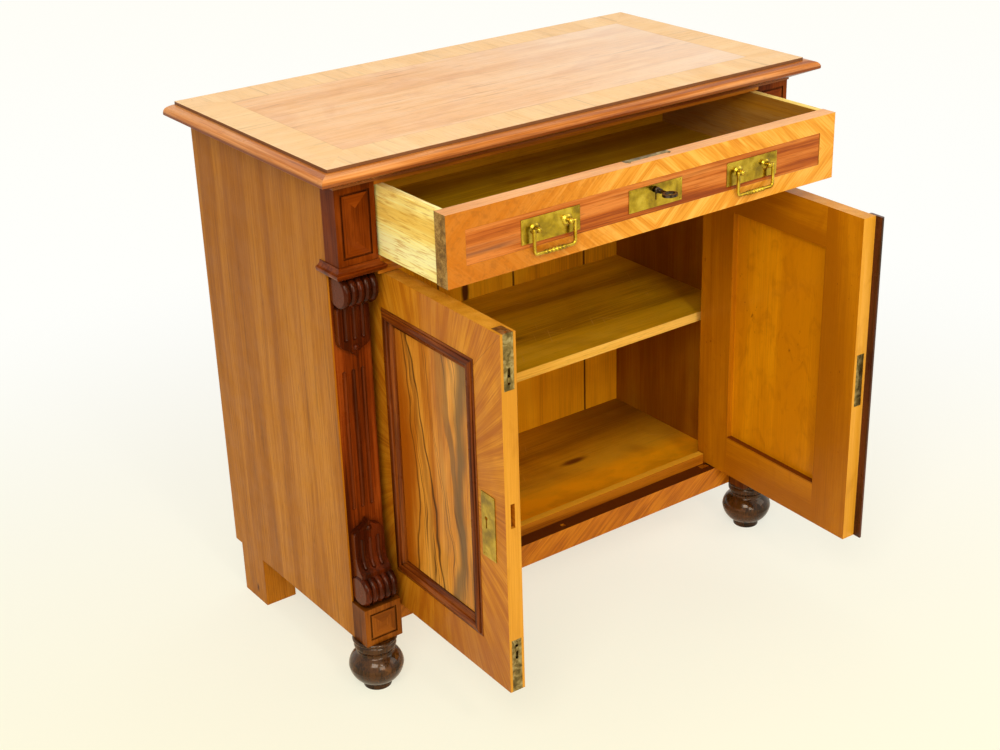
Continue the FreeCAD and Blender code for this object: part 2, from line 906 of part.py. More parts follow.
def door_hinge_plates():
    plates = []
    half = hinge_plate_length / 2
    width = hinge_plate_width / 2
    for face, way in ((door_bottom, -1), (door_top, 1)):
        z = (face, face - way * hinge_plate_thick)
        plate = box((pivot_x - half, pivot_x + half), (pivot_y - width, pivot_y + width), z)
        plates.append(plate.cut(door_pin_hole(face, way)))
    return Part.makeCompound(plates)


# Flush bolts of the left door, drawn at its top on the right side and mirrored

def flush_ends():
    """Each flush bolt's door end, the way out of the door and the length of its plate."""
    return ((door_top, 1, top_flush_length), (door_bottom, -1, bottom_flush_length))


def flush_plate(face, way, length):
    half = flush_plate_width / 2
    y = (lock_y - half, lock_y + half)
    edge = free_edge_x()
    upright = box((edge, edge + flush_plate_thick), y, (face, face - way * length))
    ledge = box((edge, edge + flush_return), y, (face, face - way * flush_plate_thick))
    plate = joined([upright, ledge])
    bolt = flush_bolt_size / 2 + bolt_fit
    x = flush_bolt_x()
    hole = box((x - bolt, x + bolt), (lock_y - bolt, lock_y + bolt), (face + way, face - way * overrun))
    slot_half = knob_width / 2 + bolt_fit
    low = face - way * (length - knob_from_end + knob_height)
    high = face - way * (length - knob_from_end - flush_travel - knob_height)
    slot = box((edge - overrun, edge + overrun), (lock_y - slot_half, lock_y + slot_half), (low, high))
    return plate.cut([hole, slot])


def flush_bolt(face, way, length):
    x = flush_bolt_x()
    half = flush_bolt_size / 2
    tip = face - way * flush_tip_clear
    tail = face - way * (length - flush_bolt_from_end)
    bar = box((x - half, x + half), (lock_y - half, lock_y + half), (tip, tail))
    knob_x = (free_edge_x() - knob_proud, x)
    knob_z = face - way * (length - knob_from_end)
    knob_y = (lock_y - knob_width / 2, lock_y + knob_width / 2)
    knob = box(knob_x, knob_y, (knob_z - knob_height / 2, knob_z + knob_height / 2))
    return bar.fuse(knob).removeSplitter()


def flush_channel(face, way, length):
    """Room in the free stile for one flush bolt and its plate."""
    half = flush_plate_width / 2
    y = (lock_y - half, lock_y + half)
    edge = free_edge_x()
    sunk = box((edge - overrun, edge + flush_plate_thick), y, (face + way * overrun, face - way * length))
    ledge = box((edge, edge + flush_return), y, (face + way * overrun, face - way * flush_plate_thick))
    bolt = flush_bolt_size / 2 + flush_bolt_clear
    far = flush_bolt_x() + bolt
    low = face - way * (length - flush_bolt_clear - flush_plate_thick)
    channel = box((edge, far), (lock_y - bolt, lock_y + bolt), (face + way * overrun, low))
    return [sunk, ledge, channel]


def bolt_mortise():
    """The socket in the left door that the right door's lock bolt enters."""
    edge = free_edge_x()
    half = mortise_width / 2
    z = face_plate_middle()
    high = mortise_height / 2
    x = (edge - overrun, edge + mortise_depth)
    return box(x, (lock_y - half, lock_y + half), (z - high, z + high))


# Lock and astragal of the right door

def face_plate_middle():
    return door_bottom + face_plate_bottom + face_plate_height / 2


def door_lock():
    edge = free_edge_x()
    z = face_plate_middle()
    y = (lock_y - face_plate_width / 2, lock_y + face_plate_width / 2)
    high = face_plate_height / 2
    plate = box((edge, edge + face_plate_thick), y, (z - high, z + high))
    half = lock_case_thick / 2
    tall = lock_case_height / 2
    far = edge + lock_case_depth
    case = box((edge, far), (lock_y - half, lock_y + half), (z - tall, z + tall))
    room_x = (edge + face_plate_thick, far - lock_wall)
    room_y = (lock_y - half + lock_wall, lock_y + half - lock_wall)
    room = box(room_x, room_y, (z - tall + lock_wall, z + tall - lock_wall))
    bolt_y = door_bolt_thick / 2 + bolt_fit
    bolt_z = door_bolt_height / 2 + bolt_fit
    hole_x = (edge - overrun, far - lock_wall)
    hole = box(hole_x, (lock_y - bolt_y, lock_y + bolt_y), (z - bolt_z, z + bolt_z))
    return joined([plate, case]).cut([room, hole])


def door_lock_bolt():
    edge = free_edge_x()
    z = face_plate_middle()
    half = door_bolt_thick / 2
    tall = door_bolt_height / 2
    return box((edge, edge + door_bolt_length), (lock_y - half, lock_y + half), (z - tall, z + tall))


def lock_room():
    """Room in the right door's free stile for its lock."""
    edge = free_edge_x()
    z = face_plate_middle()
    half = face_plate_width / 2
    high = face_plate_height / 2
    sunk_x = (edge - overrun, edge + face_plate_thick)
    sunk = box(sunk_x, (lock_y - half, lock_y + half), (z - high, z + high))
    half = lock_case_thick / 2
    tall = lock_case_height / 2
    case_x = (edge, edge + lock_case_depth)
    return [sunk, box(case_x, (lock_y - half, lock_y + half), (z - tall, z + tall))]


def astragal():
    """Closing strip on the right door's face that laps over the left door."""
    edge = free_edge_x()
    left = edge - astragal_lap
    right = left + astragal_width
    front = block_depth - astragal_thick
    back = block_depth - astragal_clear
    corner = astragal_round
    ease = corner * (1 - math.cos(math.radians(45)))
    steps = [
        (edge, block_depth),
        (edge, back),
        (left, back),
        (left, front + corner),
        (left + ease, front + ease, left + corner, front),
        (right - corner, front),
        (right - ease, front + ease, right, front + corner),
        (right, block_depth),
    ]
    return slab(steps, lambda a, b: vec(a, b, door_bottom), vec(0, 0, door_top - door_bottom))


# Drawer, drawn shut

def drawer_lock_y():
    return drawer_front_thick - drawer_lock_thick / 2


def drawer_keyhole(depth):
    start = vec(0, -overrun, key_z)
    return keyhole_cutter(start, overrun + depth)


def drawer_front():
    y = (0, drawer_front_thick)
    front = box((-drawer_half, drawer_half), y, (drawer_bottom_edge, drawer_top_edge))
    field_x = (band_end - drawer_half, drawer_half - band_end)
    field_z = (drawer_bottom_edge + band_height, drawer_top_edge - band_height)
    field = box(field_x, (-overrun, field_sink), field_z)
    lock_front = drawer_lock_y() - drawer_lock_thick / 2
    deep = (lock_front, drawer_front_thick + overrun)
    half = drawer_lock_width / 2
    room = box((-half, half), deep, (drawer_top_edge - drawer_lock_height, drawer_top_edge + overrun))
    half = selvedge_width / 2
    sunk = box((-half, half), deep, (drawer_top_edge - selvedge_thick, drawer_top_edge + overrun))
    low = drawer_bottom_edge + drawer_bottom_rise
    groove_z = (low, low + drawer_bottom_thick)
    groove_y = (drawer_front_thick - drawer_bottom_groove, drawer_front_thick + overrun)
    groove = box((-drawer_side_inner, drawer_side_inner), groove_y, groove_z)
    front = front.cut([field, room, sunk, groove, drawer_keyhole(drawer_front_thick)])
    for x in handle_bosses():
        start = vec(x, -overrun, handle_z)
        end = vec(x, drawer_front_thick + overrun, handle_z)
        front = front.cut(rod(start, end, boss_shank_radius + dowel_fit))
    return front


def drawer_side():
    x = (drawer_side_inner, drawer_side_outer)
    side = box(x, (drawer_front_thick, drawer_rear), (drawer_bottom_edge, drawer_top_edge))
    low = drawer_bottom_edge + drawer_bottom_rise
    groove_x = (0, drawer_side_inner + drawer_bottom_groove)
    return side.cut(box(groove_x, (0, back_inner), (low, low + drawer_bottom_thick)))


def drawer_back():
    low = drawer_bottom_edge + drawer_bottom_rise + drawer_bottom_thick
    high = drawer_top_edge - drawer_back_inset
    y = (drawer_rear - drawer_back_inset - drawer_back_thick, drawer_rear - drawer_back_inset)
    return box((-drawer_side_inner, drawer_side_inner), y, (low, high))


def drawer_bottom():
    low = drawer_bottom_edge + drawer_bottom_rise
    half = drawer_side_inner
    y = (drawer_front_thick - drawer_bottom_groove, drawer_rear - drawer_back_inset)
    board = box((-half, half), y, (low, low + drawer_bottom_thick))
    wide = half + drawer_bottom_groove
    tongue_y = (drawer_front_thick, drawer_rear - drawer_back_inset)
    return joined([board, box((-wide, wide), tongue_y, (low, low + drawer_bottom_thick))])


def drawer_escutcheon():
    half = drawer_plate_width / 2
    low = drawer_bottom_edge + drawer_plate_bottom
    y = (field_sink - plate_thick, field_sink)
    return box((-half, half), y, (low, low + drawer_plate_height)).cut(drawer_keyhole(drawer_front_thick))


def drawer_lock():
    """Lock case let into the back of the drawer front, with its selvedge and drill pin."""
    middle = drawer_lock_y()
    deep = drawer_lock_thick / 2
    half = drawer_lock_width / 2
    low = drawer_top_edge - drawer_lock_height
    high = drawer_top_edge - selvedge_thick
    case = box((-half, half), (middle - deep, middle + deep), (low, high))
    room_y = (middle - deep - overrun, middle + deep - lock_wall)
    room = box((lock_wall - half, half - lock_wall), room_y, (low + lock_wall, high))
    half = selvedge_width / 2
    selvedge = box((-half, half), (middle - deep, middle + deep), (high, drawer_top_edge))
    bolt = drawer_bolt_width / 2 + bolt_fit
    thick = drawer_bolt_thick() / 2 + bolt_fit
    slot = box((-bolt, bolt), (middle - thick, middle + thick), (high - overrun, drawer_top_edge + overrun))
    pin_start = vec(0, middle + deep - lock_wall / 2, key_z)
    pin = rod(pin_start, vec(0, key_collar_length, key_z), lock_pin_radius)
    return case.cut(room).fuse([selvedge, pin]).removeSplitter().cut(slot)


def drawer_bolt_thick():
    return drawer_lock_thick - 2 * lock_wall - key_end_clear


def drawer_bolt():
    half = drawer_bolt_width / 2
    thick = drawer_bolt_thick() / 2
    middle = drawer_lock_y()
    z = (drawer_top_edge - drawer_bolt_height, drawer_top_edge)
    return box((-half, half), (middle - thick, middle + thick), z)


def drawer_key():
    """Hollow key on the lock's pin, with a turned collar, a bit and a flat bow lying level."""
    inner_end = drawer_lock_y() + drawer_lock_thick / 2 - lock_wall - key_end_clear
    bow_back = key_bow_length - key_length
    steps = [(0, bow_back - key_bow_bar), (key_stem_radius, bow_back - key_bow_bar)]
    here = -key_collar_gap - key_collar_length - 2 * (key_bead_length + key_collar_gap)
    beads = [(key_bead_radius, key_bead_length)] * 2 + [(key_collar_radius, key_collar_length)]
    for radius, length in beads:
        steps.append((key_stem_radius, here))
        steps.append((radius, here + length / 2, key_stem_radius, here + length))
        here += length + key_collar_gap
    steps += [(key_stem_radius, inner_end), (0, inner_end)]
    stem = turned(steps, vec(0, 0, key_z), vec(0, 1, 0))
    barrel_start = vec(0, key_collar_length - key_end_clear, key_z)
    barrel = rod(barrel_start, vec(0, inner_end + overrun, key_z), key_barrel_radius)
    bit_y = (inner_end - key_bit_width, inner_end)
    thick = key_bit_thick / 2
    bit_root = (key_stem_radius + key_barrel_radius) / 2
    bit = box((bit_root, key_bit_reach), bit_y, (key_z - thick, key_z + thick))
    wide = key_bow_width / 2
    long = key_bow_length / 2
    centre = vec(0, long - key_length, key_z - key_bow_thick / 2)
    thick = vec(0, 0, key_bow_thick)
    bow = Part.Face(bow_oval(centre, wide, long)).extrude(thick)
    hole = Part.Face(bow_oval(centre, wide - key_bow_bar, long - key_bow_bar)).extrude(thick)
    return stem.fuse([bow, bit]).cut([barrel, hole])


def bow_oval(centre, wide, long):
    """An oval wire of two half ellipses, wide across X and long along Y."""
    oval = Part.Ellipse(centre, max(wide, long), min(wide, long))
    wire = Part.Wire(oval.toShape())
    if long > wide:
        wire.rotate(centre, vec(0, 0, 1), 90)
    return wire


def handle_bosses():
    """The X places of all four handle posts."""
    places = []
    for side in (-1, 1):
        for end in (-1, 1):
            places.append(side * handle_from_middle + end * boss_spacing / 2)
    return places


def handle_axis_y():
    return field_sink - plate_thick - boss_stand_off


def handle_post(x):
    """A domed rose, a neck and a ball head on a shank with a nut inside the drawer."""
    face = field_sink - plate_thick
    axis = boss_stand_off
    head = boss_head_radius
    neck_out = axis - math.sqrt(head ** 2 - boss_neck_radius ** 2)
    shank_end = face - drawer_front_thick - boss_nut_length
    nut_start = face - drawer_front_thick
    steps = [
        (0, shank_end),
        (boss_nut_radius, shank_end),
        (boss_nut_radius, nut_start),
        (boss_shank_radius, nut_start),
        (boss_shank_radius, 0),
        (boss_dome_radius, 0),
        (boss_dome_bulge, boss_dome_bulge_rise, boss_neck_radius, boss_dome_rise),
        (boss_neck_radius, neck_out),
        (head, axis, 0, axis + head),
    ]
    post = turned(steps, vec(x, face, handle_z), vec(0, -1, 0))
    reach = boss_head_radius + overrun
    start = vec(x - reach, handle_axis_y(), handle_z)
    return post.cut(rod(start, start + vec(2 * reach, 0, 0), bail_pin_radius + bail_pin_fit))


def handle_plates():
    plates = []
    low = drawer_bottom_edge + handle_plate_bottom
    y = (field_sink - plate_thick, field_sink)
    for side in (-1, 1):
        x = side * handle_from_middle
        half = handle_plate_width / 2
        plate = box((x - half, x + half), y, (low, low + handle_plate_height))
        posts = [handle_post(x - boss_spacing / 2), handle_post(x + boss_spacing / 2)]
        plates.append(plate.fuse(posts))
    return Part.makeCompound(plates)


def bail(side):
    """A bar bent down from the two posts, with a row of turned swellings along the bottom."""
    middle = side * handle_from_middle
    y = handle_axis_y()
    arm = boss_spacing / 2 + bail_arm_from_boss
    low = handle_z - bail_drop
    bend = bail_corner_radius
    pieces = []
    for end in (-1, 1):
        x = middle + end * arm
        inner = middle + end * (boss_spacing / 2 - bail_pin_inner)
        pieces.append(rod(vec(inner, y, handle_z), vec(x, y, handle_z), bail_pin_radius))
        pieces.append(Part.makeSphere(bail_bar_radius, vec(x, y, handle_z)))
        pieces.append(rod(vec(x, y, handle_z), vec(x, y, low + bend), bail_bar_radius))
        start = vec(x, y, low + bend)
        circle = Part.Face(Part.Wire(Part.makeCircle(bail_bar_radius, start, vec(0, 0, 1))))
        hinge = vec(x - end * bend, y, low + bend)
        pieces.append(circle.revolve(hinge, vec(0, end, 0), 90))
    span = arm - bend
    steps = [(0, -span), (bail_bar_radius, -span)]
    first = -bail_bead_count * bail_bead_length / 2
    steps.append((bail_bar_radius, first))
    for number in range(bail_bead_count):
        left = first + number * bail_bead_length
        right = left + bail_bead_length
        steps.append((bail_bead_radius, (left + right) / 2, bail_bar_radius, right))
    steps += [(bail_bar_radius, span), (0, span)]
    pieces.append(turned(steps, vec(middle, y, low), vec(1, 0, 0)))
    return pieces[0].fuse(pieces[1:])


# Rest pose and export

def swung(shape, side):
    """A piece of a door turned about its hinge pins from closed to its rest angle."""
    turn = right_door_angle if side > 0 else -left_door_angle
    moved = shape.copy()
    moved.rotate(vec(side * pivot_x, pivot_y, 0), vec(0, 0, 1), turn)
    return moved


def pulled(shape):
    """A piece of the drawer slid out to its rest place."""
    moved = shape.copy()
    moved.translate(vec(0, -drawer_pull, 0))
    return moved


def door_pieces(side):
    """The pieces that one door carries, at rest."""
    name = "right" if side > 0 else "left"
    frame = door_frame()
    if side > 0:
        frame[0] = frame[0].cut(lock_room())
    else:
        cuts = [bolt_mortise()]
        for face, way, length in flush_ends():
            cuts += flush_channel(face, way, length)
        frame = [piece.cut(cuts) for piece in frame]
    pieces = {
        "door_frame": Part.makeCompound(frame),
        "door_panel": door_panel(),
        "door_moulding": door_moulding(),
        "door_escutcheon": door_escutcheon(),
        "door_hinge_plates": door_hinge_plates(),
    }
    if side > 0:
        pieces["door_astragal"] = astragal()
        pieces["door_lock"] = door_lock()
        pieces["door_lock_bolt"] = door_lock_bolt()
    else:
        ends = flush_ends()
        pieces["door_bolt_plates"] = Part.makeCompound([flush_plate(*end) for end in ends])
        pieces["door_top_bolt"] = flush_bolt(*ends[0])
        pieces["door_bottom_bolt"] = flush_bolt(*ends[1])
    out = {}
    for part, shape in pieces.items():
        closed = shape if side > 0 else mirrored(shape)
        out[name + "_" + part] = swung(closed, side)
    return out


def case_pieces():
    pieces = {
        "top_board": top_board(),
        "top_moulding": top_moulding(),
        "top_panel": top_panel(),
        "apron_rail": apron_rail(),
        "door_stop_lip": door_stop_lip(),
        "bottom_board": bottom_board(),
        "drawer_rail": drawer_rail(),
        "top_rail": top_rail(),
        "drawer_runners": drawer_runners(),
        "shelf": shelf(),
        "shelf_bearers": shelf_bearers(),
        "back_boards": back_boards(),
        "case_hinge_plates": case_hinge_plates(),
        "rear_feet": Part.makeCompound([rear_foot(), mirrored(rear_foot())]),
        "ball_feet": Part.makeCompound([ball_foot(), mirrored(ball_foot())]),
    }
    pairs = {
        "side_panel": side_panel(),
        "corner_post": corner_post(),
        "pilaster": pilaster(),
        "upper_block": upper_block(),
        "capital": capital(),
        "upper_corbel": upper_corbel(),
        "lower_corbel": lower_corbel(),
        "base_block": base_block(),
    }
    for part, shape in pairs.items():
        pieces["right_" + part] = shape
        pieces["left_" + part] = mirrored(shape)
    return pieces


def drawer_pieces():
    pieces = {
        "drawer_front": drawer_front(),
        "right_drawer_side": drawer_side(),
        "left_drawer_side": mirrored(drawer_side()),
        "drawer_back": drawer_back(),
        "drawer_bottom": drawer_bottom(),
        "drawer_escutcheon": drawer_escutcheon(),
        "drawer_lock": drawer_lock(),
        "drawer_bolt": drawer_bolt(),
        "drawer_key": drawer_key(),
        "drawer_handle_plates": handle_plates(),
        "left_bail": bail(-1),
        "right_bail": bail(1),
    }
    return {name: pulled(shape) for name, shape in pieces.items()}


def export(pieces):
    os.makedirs("parts", exist_ok=True)
    for name, shape in sorted(pieces.items()):
        placed = shape.copy()
        placed.translate(vec(0, frame_shift, 0))
        placed.exportStep("parts/" + name + ".step")


all_pieces = {**case_pieces(), **drawer_pieces(), **door_pieces(1), **door_pieces(-1)}
export(all_pieces)
for piece_name, piece_shape in sorted(all_pieces.items()):
    if not piece_shape.isValid():
        print("not valid:", piece_name)
print(len(all_pieces), "pieces, shift along Y", round(frame_shift, 3))
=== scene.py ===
import math

import bpy
from mathutils import Matrix, Vector


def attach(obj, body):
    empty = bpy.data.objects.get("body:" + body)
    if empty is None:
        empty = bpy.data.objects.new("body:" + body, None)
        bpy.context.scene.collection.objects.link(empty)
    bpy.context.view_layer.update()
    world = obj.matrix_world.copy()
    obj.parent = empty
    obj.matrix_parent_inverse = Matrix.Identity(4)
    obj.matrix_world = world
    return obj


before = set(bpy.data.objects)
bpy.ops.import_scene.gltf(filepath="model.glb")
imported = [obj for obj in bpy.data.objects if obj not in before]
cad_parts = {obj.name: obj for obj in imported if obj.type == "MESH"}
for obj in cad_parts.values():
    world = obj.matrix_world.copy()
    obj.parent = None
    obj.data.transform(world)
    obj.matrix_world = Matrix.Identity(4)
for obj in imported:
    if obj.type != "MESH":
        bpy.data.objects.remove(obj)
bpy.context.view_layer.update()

# Side panels and corner posts
# Upright walnut boards, red-brown and softly striped, with a few pin knots, french polished outside, and
# painted darker towards the top as shade.
# Inside the case their faces are bare pine that has darkened to ochre brown.
no_turn = (0, 0, 0)
grain_to_x = (0, math.radians(90), 0)
grain_to_y = (math.radians(90), 0, 0)
polish_amber = (255, 208, 140)
rubbed_gold = (235, 200, 130)
hollow_dirt_and_shade = (24, 8, 3)
pine_swatches = ((160, 104, 6), (196, 132, 10), (210, 146, 14), (224, 162, 28))
pine_knot = (84, 40, 6)
pine_stain = (170, 130, 60)
side_swatches = ((158, 92, 13), (173, 104, 15), (184, 114, 22), (198, 128, 36))
side_knot = (92, 46, 14)
side_top_shade = (138, 78, 22)
side_ochre = (112, 48, 4)


def tint(swatch):
    """A colour as it is read off a swatch, 0 to 255, in the numbers that a shader takes."""
    shares = [value / 255 for value in swatch]
    return [v / 12.92 if v < 0.04045 else ((v + 0.055) / 1.055) ** 2.4 for v in shares] + [1]


def scaled(swatch, share):
    """The same swatch made darker or brighter."""
    return tuple(round(value * share) for value in swatch)


def add(tree, kind, wires, **choices):
    """One shader node, with its settings made and its sockets set or joined up."""
    made = tree.nodes.new("ShaderNode" + kind)
    for name, choice in choices.items():
        setattr(made, name, choice)
    for name, value in wires.items():
        if isinstance(value, bpy.types.NodeSocket):
            tree.links.new(value, made.inputs[name])
        else:
            made.inputs[name].default_value = value
    return made


def work(tree, operation, first, second=0.0):
    """One sum on two values."""
    return add(tree, "Math", {0: first, 1: second}, operation=operation).outputs[0]


def times(tree, first, second):
    return work(tree, "MULTIPLY", first, second)


def minus(tree, first, second):
    return work(tree, "SUBTRACT", first, second)


def apart(tree, value, middle=None):
    """How far a value lies from a middle, or from zero."""
    return work(tree, "ABSOLUTE", value if middle is None else minus(tree, value, middle))


def laid(tree, share, under, over, way="MIX"):
    """One colour or swatch laid over another by a share from 0 to 1."""
    wires = {0: share, 6: under, 7: tint(over) if isinstance(over, tuple) else over}
    return add(tree, "Mix", wires, data_type="RGBA", blend_type=way, clamp_factor=True).outputs[2]


def ranged(tree, value, low, high, start=0.0, stop=1.0):
    """A value read between two limits, eased in and out."""
    wires = {"Value": value, "From Min": low, "From Max": high, "To Min": start, "To Max": stop}
    return add(tree, "MapRange", wires, interpolation_type="SMOOTHSTEP").outputs[0]


def ramp(tree, value, swatches):
    """Swatches set out evenly along a value."""
    bar = add(tree, "ValToRGB", {"Fac": value})
    steps = bar.color_ramp.elements
    steps[0].color = tint(swatches[0])
    steps[1].color = tint(swatches[-1])
    for place in range(1, len(swatches) - 1):
        steps.new(place / (len(swatches) - 1)).color = tint(swatches[place])
    return bar.outputs[0]


def object_place(tree):
    return add(tree, "TexCoord", {}).outputs["Object"]


def at(tree, axis):
    """X, Y or Z of the object's own coordinates."""
    return add(tree, "SeparateXYZ", {"Vector": object_place(tree)}).outputs[axis]


def facing(tree, axis):
    """X, Y or Z of the way that a face looks."""
    normal = add(tree, "TexCoord", {}).outputs["Normal"]
    return add(tree, "SeparateXYZ", {"Vector": normal}).outputs[axis]


def inward(tree):
    """1 on the faces that look across the cabinet toward its middle."""
    return ranged(tree, times(tree, at(tree, "X"), facing(tree, "X")), -0.2, -0.3)


def grain_way(tree, turn, shift=no_turn, place=None):
    """Coordinates with the grain running up Z."""
    wires = {"Vector": place or object_place(tree), "Rotation": turn, "Location": shift}
    return add(tree, "Mapping", wires).outputs[0]


def cloud(tree, vector, cells, detail=3.0, bend=0.0):
    """Soft noise, so many cells to the metre along each axis."""
    spread = add(tree, "Mapping", {"Vector": vector, "Scale": cells}).outputs[0]
    wires = {"Vector": spread, "Scale": 1.0, "Detail": detail, "Roughness": 0.55, "Distortion": bend}
    return add(tree, "TexNoise", wires).outputs[0]


def blotches(tree, cells, detail=3.0, bend=0.0):
    """The same noise, whichever way the grain runs."""
    return cloud(tree, object_place(tree), cells, detail, bend)


def timber(tree, way, swatches, cells=(9, 9, 0.9), rings=9.0, ring_share=0.25, fibre_share=0.2, pore=0.3):
    """The colour of sawn wood and the height of its surface: broad stripes, year rings, fibres and pores.

    The rings are the contour lines of a slow noise drawn out along the grain, as on a flat-sawn board.
    """
    broad = ranged(tree, cloud(tree, way, cells, 4.0, 0.6), 0.3, 0.7)
    slow = cloud(tree, grain_way(tree, no_turn, (1.7, 0.4, 0.9), way), cells, 1.5, 0.3)
    ring = work(tree, "PINGPONG", times(tree, slow, rings), 1.0)
    fibre = cloud(tree, way, (420, 420, 7), 2.0)
    pits = ranged(tree, cloud(tree, way, (1100, 1100, 42), 1.0), 0.6, 0.72)
    value = times(tree, broad, 1 - ring_share - fibre_share)
    value = work(tree, "ADD", value, times(tree, ring, ring_share))
    value = work(tree, "ADD", value, times(tree, ranged(tree, fibre, 0.3, 0.7), fibre_share))
    value = ranged(tree, value, 0.14, 0.86)
    pore_dark = scaled(swatches[0], 0.5)
    colour = laid(tree, times(tree, pits, pore), ramp(tree, value, swatches), pore_dark)
    vein = ranged(tree, cloud(tree, way, (150, 150, 3.5), 3.0, 0.3), 0.58, 0.74)
    colour = laid(tree, times(tree, vein, pore), colour, pore_dark)
    return colour, minus(tree, fibre, times(tree, pits, 0.6))


def surface(
    name, build, rough=0.45, coat=0.1, relief=0.15, soften=0.0006, worn=0.25,
    deep=0.0, metal=0.0, shine=0.2,
):
    """A material: colour and height from build, soft edges a little rubbed, and darker in the hollows with
    dirt and painted shade.

    Rough is its middle roughness, coat its varnish, relief the strength of its height, and soften the radius
    of its edges. Worn and deep are the shares of rubbing and of dirt with painted shade in the hollows, and
    shine its gloss under the varnish.
    """
    material = bpy.data.materials.new(name)
    material.use_nodes = True
    tree = material.node_tree
    shader = tree.nodes["Principled BSDF"]
    colour, height = build(tree)
    eased = add(tree, "Bevel", {"Radius": soften}, samples=4).outputs[0]
    if worn:
        true = add(tree, "NewGeometry", {}).outputs["Normal"]
        turn = add(tree, "VectorMath", {0: eased, 1: true}, operation="DOT_PRODUCT").outputs["Value"]
        rub = times(tree, ranged(tree, turn, 0.98, 0.72), worn)
        patches = ranged(tree, blotches(tree, (60, 60, 60)), 0.35, 0.6)
        rubbed = laid(tree, 1.0, colour, rubbed_gold, "SOFT_LIGHT")
        colour = laid(tree, times(tree, rub, patches), colour, rubbed)
    if deep:
        # Dirt and painted shade: hollows found by ambient occlusion are darkened.
        open_share = add(tree, "AmbientOcclusion", {"Distance": 0.012}, samples=6).outputs["AO"]
        colour = laid(tree, ranged(tree, open_share, 0.25, 0.85, deep, 0.0), colour, hollow_dirt_and_shade)
    uneven = ranged(tree, blotches(tree, (25, 25, 25)), 0.25, 0.75, rough - 0.07, rough + 0.09)
    bump = add(tree, "Bump", {"Strength": relief, "Distance": 0.0006, "Height": height, "Normal": eased})
    for socket, wire in (("Base Color", colour), ("Roughness", uneven), ("Normal", bump.outputs[0])):
        tree.links.new(wire, shader.inputs[socket])
    settings = {"Coat Weight": coat, "Coat Roughness": 0.06, "Metallic": metal}
    settings["Specular IOR Level"] = 0.5 if metal else shine
    if not metal:
        settings["Specular Tint"] = tint(polish_amber)
    for socket, value in settings.items():
        shader.inputs[socket].default_value = value
    return material


def dress(names, material):
    """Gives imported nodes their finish."""
    for name in names:
        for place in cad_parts[name].material_slots:
            place.material = material


def both(name):
    return ["left_" + name, "right_" + name]


def knots(tree, way, cells, size, colour, dark):
    """Small dark knots, set far apart."""
    spread = add(tree, "Mapping", {"Vector": way, "Scale": cells}).outputs[0]
    near = add(tree, "TexVoronoi", {"Vector": spread, "Scale": 1.0, "Randomness": 1.0}).outputs["Distance"]
    return laid(tree, ranged(tree, near, size, size * 0.35), colour, dark)


def old_pine(turn, shift=no_turn, swatches=pine_swatches, knot=pine_knot):
    def build(tree):
        way = grain_way(tree, turn, shift)
        colour, height = timber(tree, way, swatches, (7, 7, 0.7), rings=12.0, ring_share=0.22, pore=0.2)
        stains = ranged(tree, blotches(tree, (5, 5, 5), 5.0, 1.0), 0.45, 0.72)
        colour = laid(tree, times(tree, stains, 0.4), colour, pine_stain, "MULTIPLY")
        return knots(tree, way, (11, 11, 3.2), 0.14, colour, knot), height
    return build


def side_board(tree):
    way = grain_way(tree, no_turn)
    figure = dict(cells=(16, 16, 0.8), rings=6.0, ring_share=0.14, fibre_share=0.34, pore=0.4)
    colour, height = timber(tree, way, side_swatches, **figure)
    colour = knots(tree, way, (14, 14, 6), 0.08, colour, side_knot)
    # Painted shade: the board is darkened towards its top.
    colour = laid(tree, ranged(tree, at(tree, "Z"), 0.35, 0.85, stop=0.3), colour, side_top_shade)
    inner = laid(tree, 0.62, old_pine(no_turn)(tree)[0], side_ochre)
    return laid(tree, inward(tree), colour, inner), height


side_wood = surface("polished_side_walnut", side_board, rough=0.42, coat=0.06, shine=0.12)
dress(both("side_panel") + both("corner_post"), side_wood)

# Rear feet
# Two plain blocks of the side wood under the back corners.
# Their edges are scuffed.
rear_foot_wood = surface(
    "rear_foot_walnut", side_board, rough=0.5, coat=0.08, relief=0.2, soften=0.001, worn=0.5,
)
dress(["rear_feet"], rear_foot_wood)

# Bottom board, shelf and their bearers
# Wide pine boards, bare and darkened to ochre, with the long grain across the cabinet.
# Both are scratched; the shelf's front edge stayed bright, the bottom is a brighter orange in patches along
# its front, and its far right corner is painted dark as shade.
shelf_swatches = ((176, 126, 8), (212, 160, 14), (226, 174, 20), (238, 188, 38))
shelf_edge = ((206, 144, 42), (228, 170, 62), (246, 196, 92))
scratch_pale = (226, 176, 90)
bottom_knot = (110, 58, 8)
bottom_corner_shade = (96, 50, 4)
bottom_front_orange = (255, 174, 10)


def scratches(tree, colour, strength):
    """Thin pale scratches in two directions over a flat board."""
    for angle, shift in ((0.5, 3.1), (2.3, 7.7)):
        place = grain_way(tree, (0, 0, angle), (shift, 0, 0))
        lines = ranged(tree, cloud(tree, place, (260, 7, 260), 1.0), 0.69, 0.74)
        where = ranged(tree, cloud(tree, place, (9, 9, 9), 2.0), 0.5, 0.62)
        colour = laid(tree, times(tree, times(tree, lines, where), strength), colour, scratch_pale)
    return colour


def shelf_board(tree):
    colour, height = old_pine(grain_to_x, (0.3, 0.7, 0), shelf_swatches)(tree)
    colour = scratches(tree, colour, 0.5)
    bright = timber(tree, grain_way(tree, grain_to_x), shelf_edge)[0]
    return laid(tree, ranged(tree, facing(tree, "Y"), -0.6, -0.9), colour, bright), height


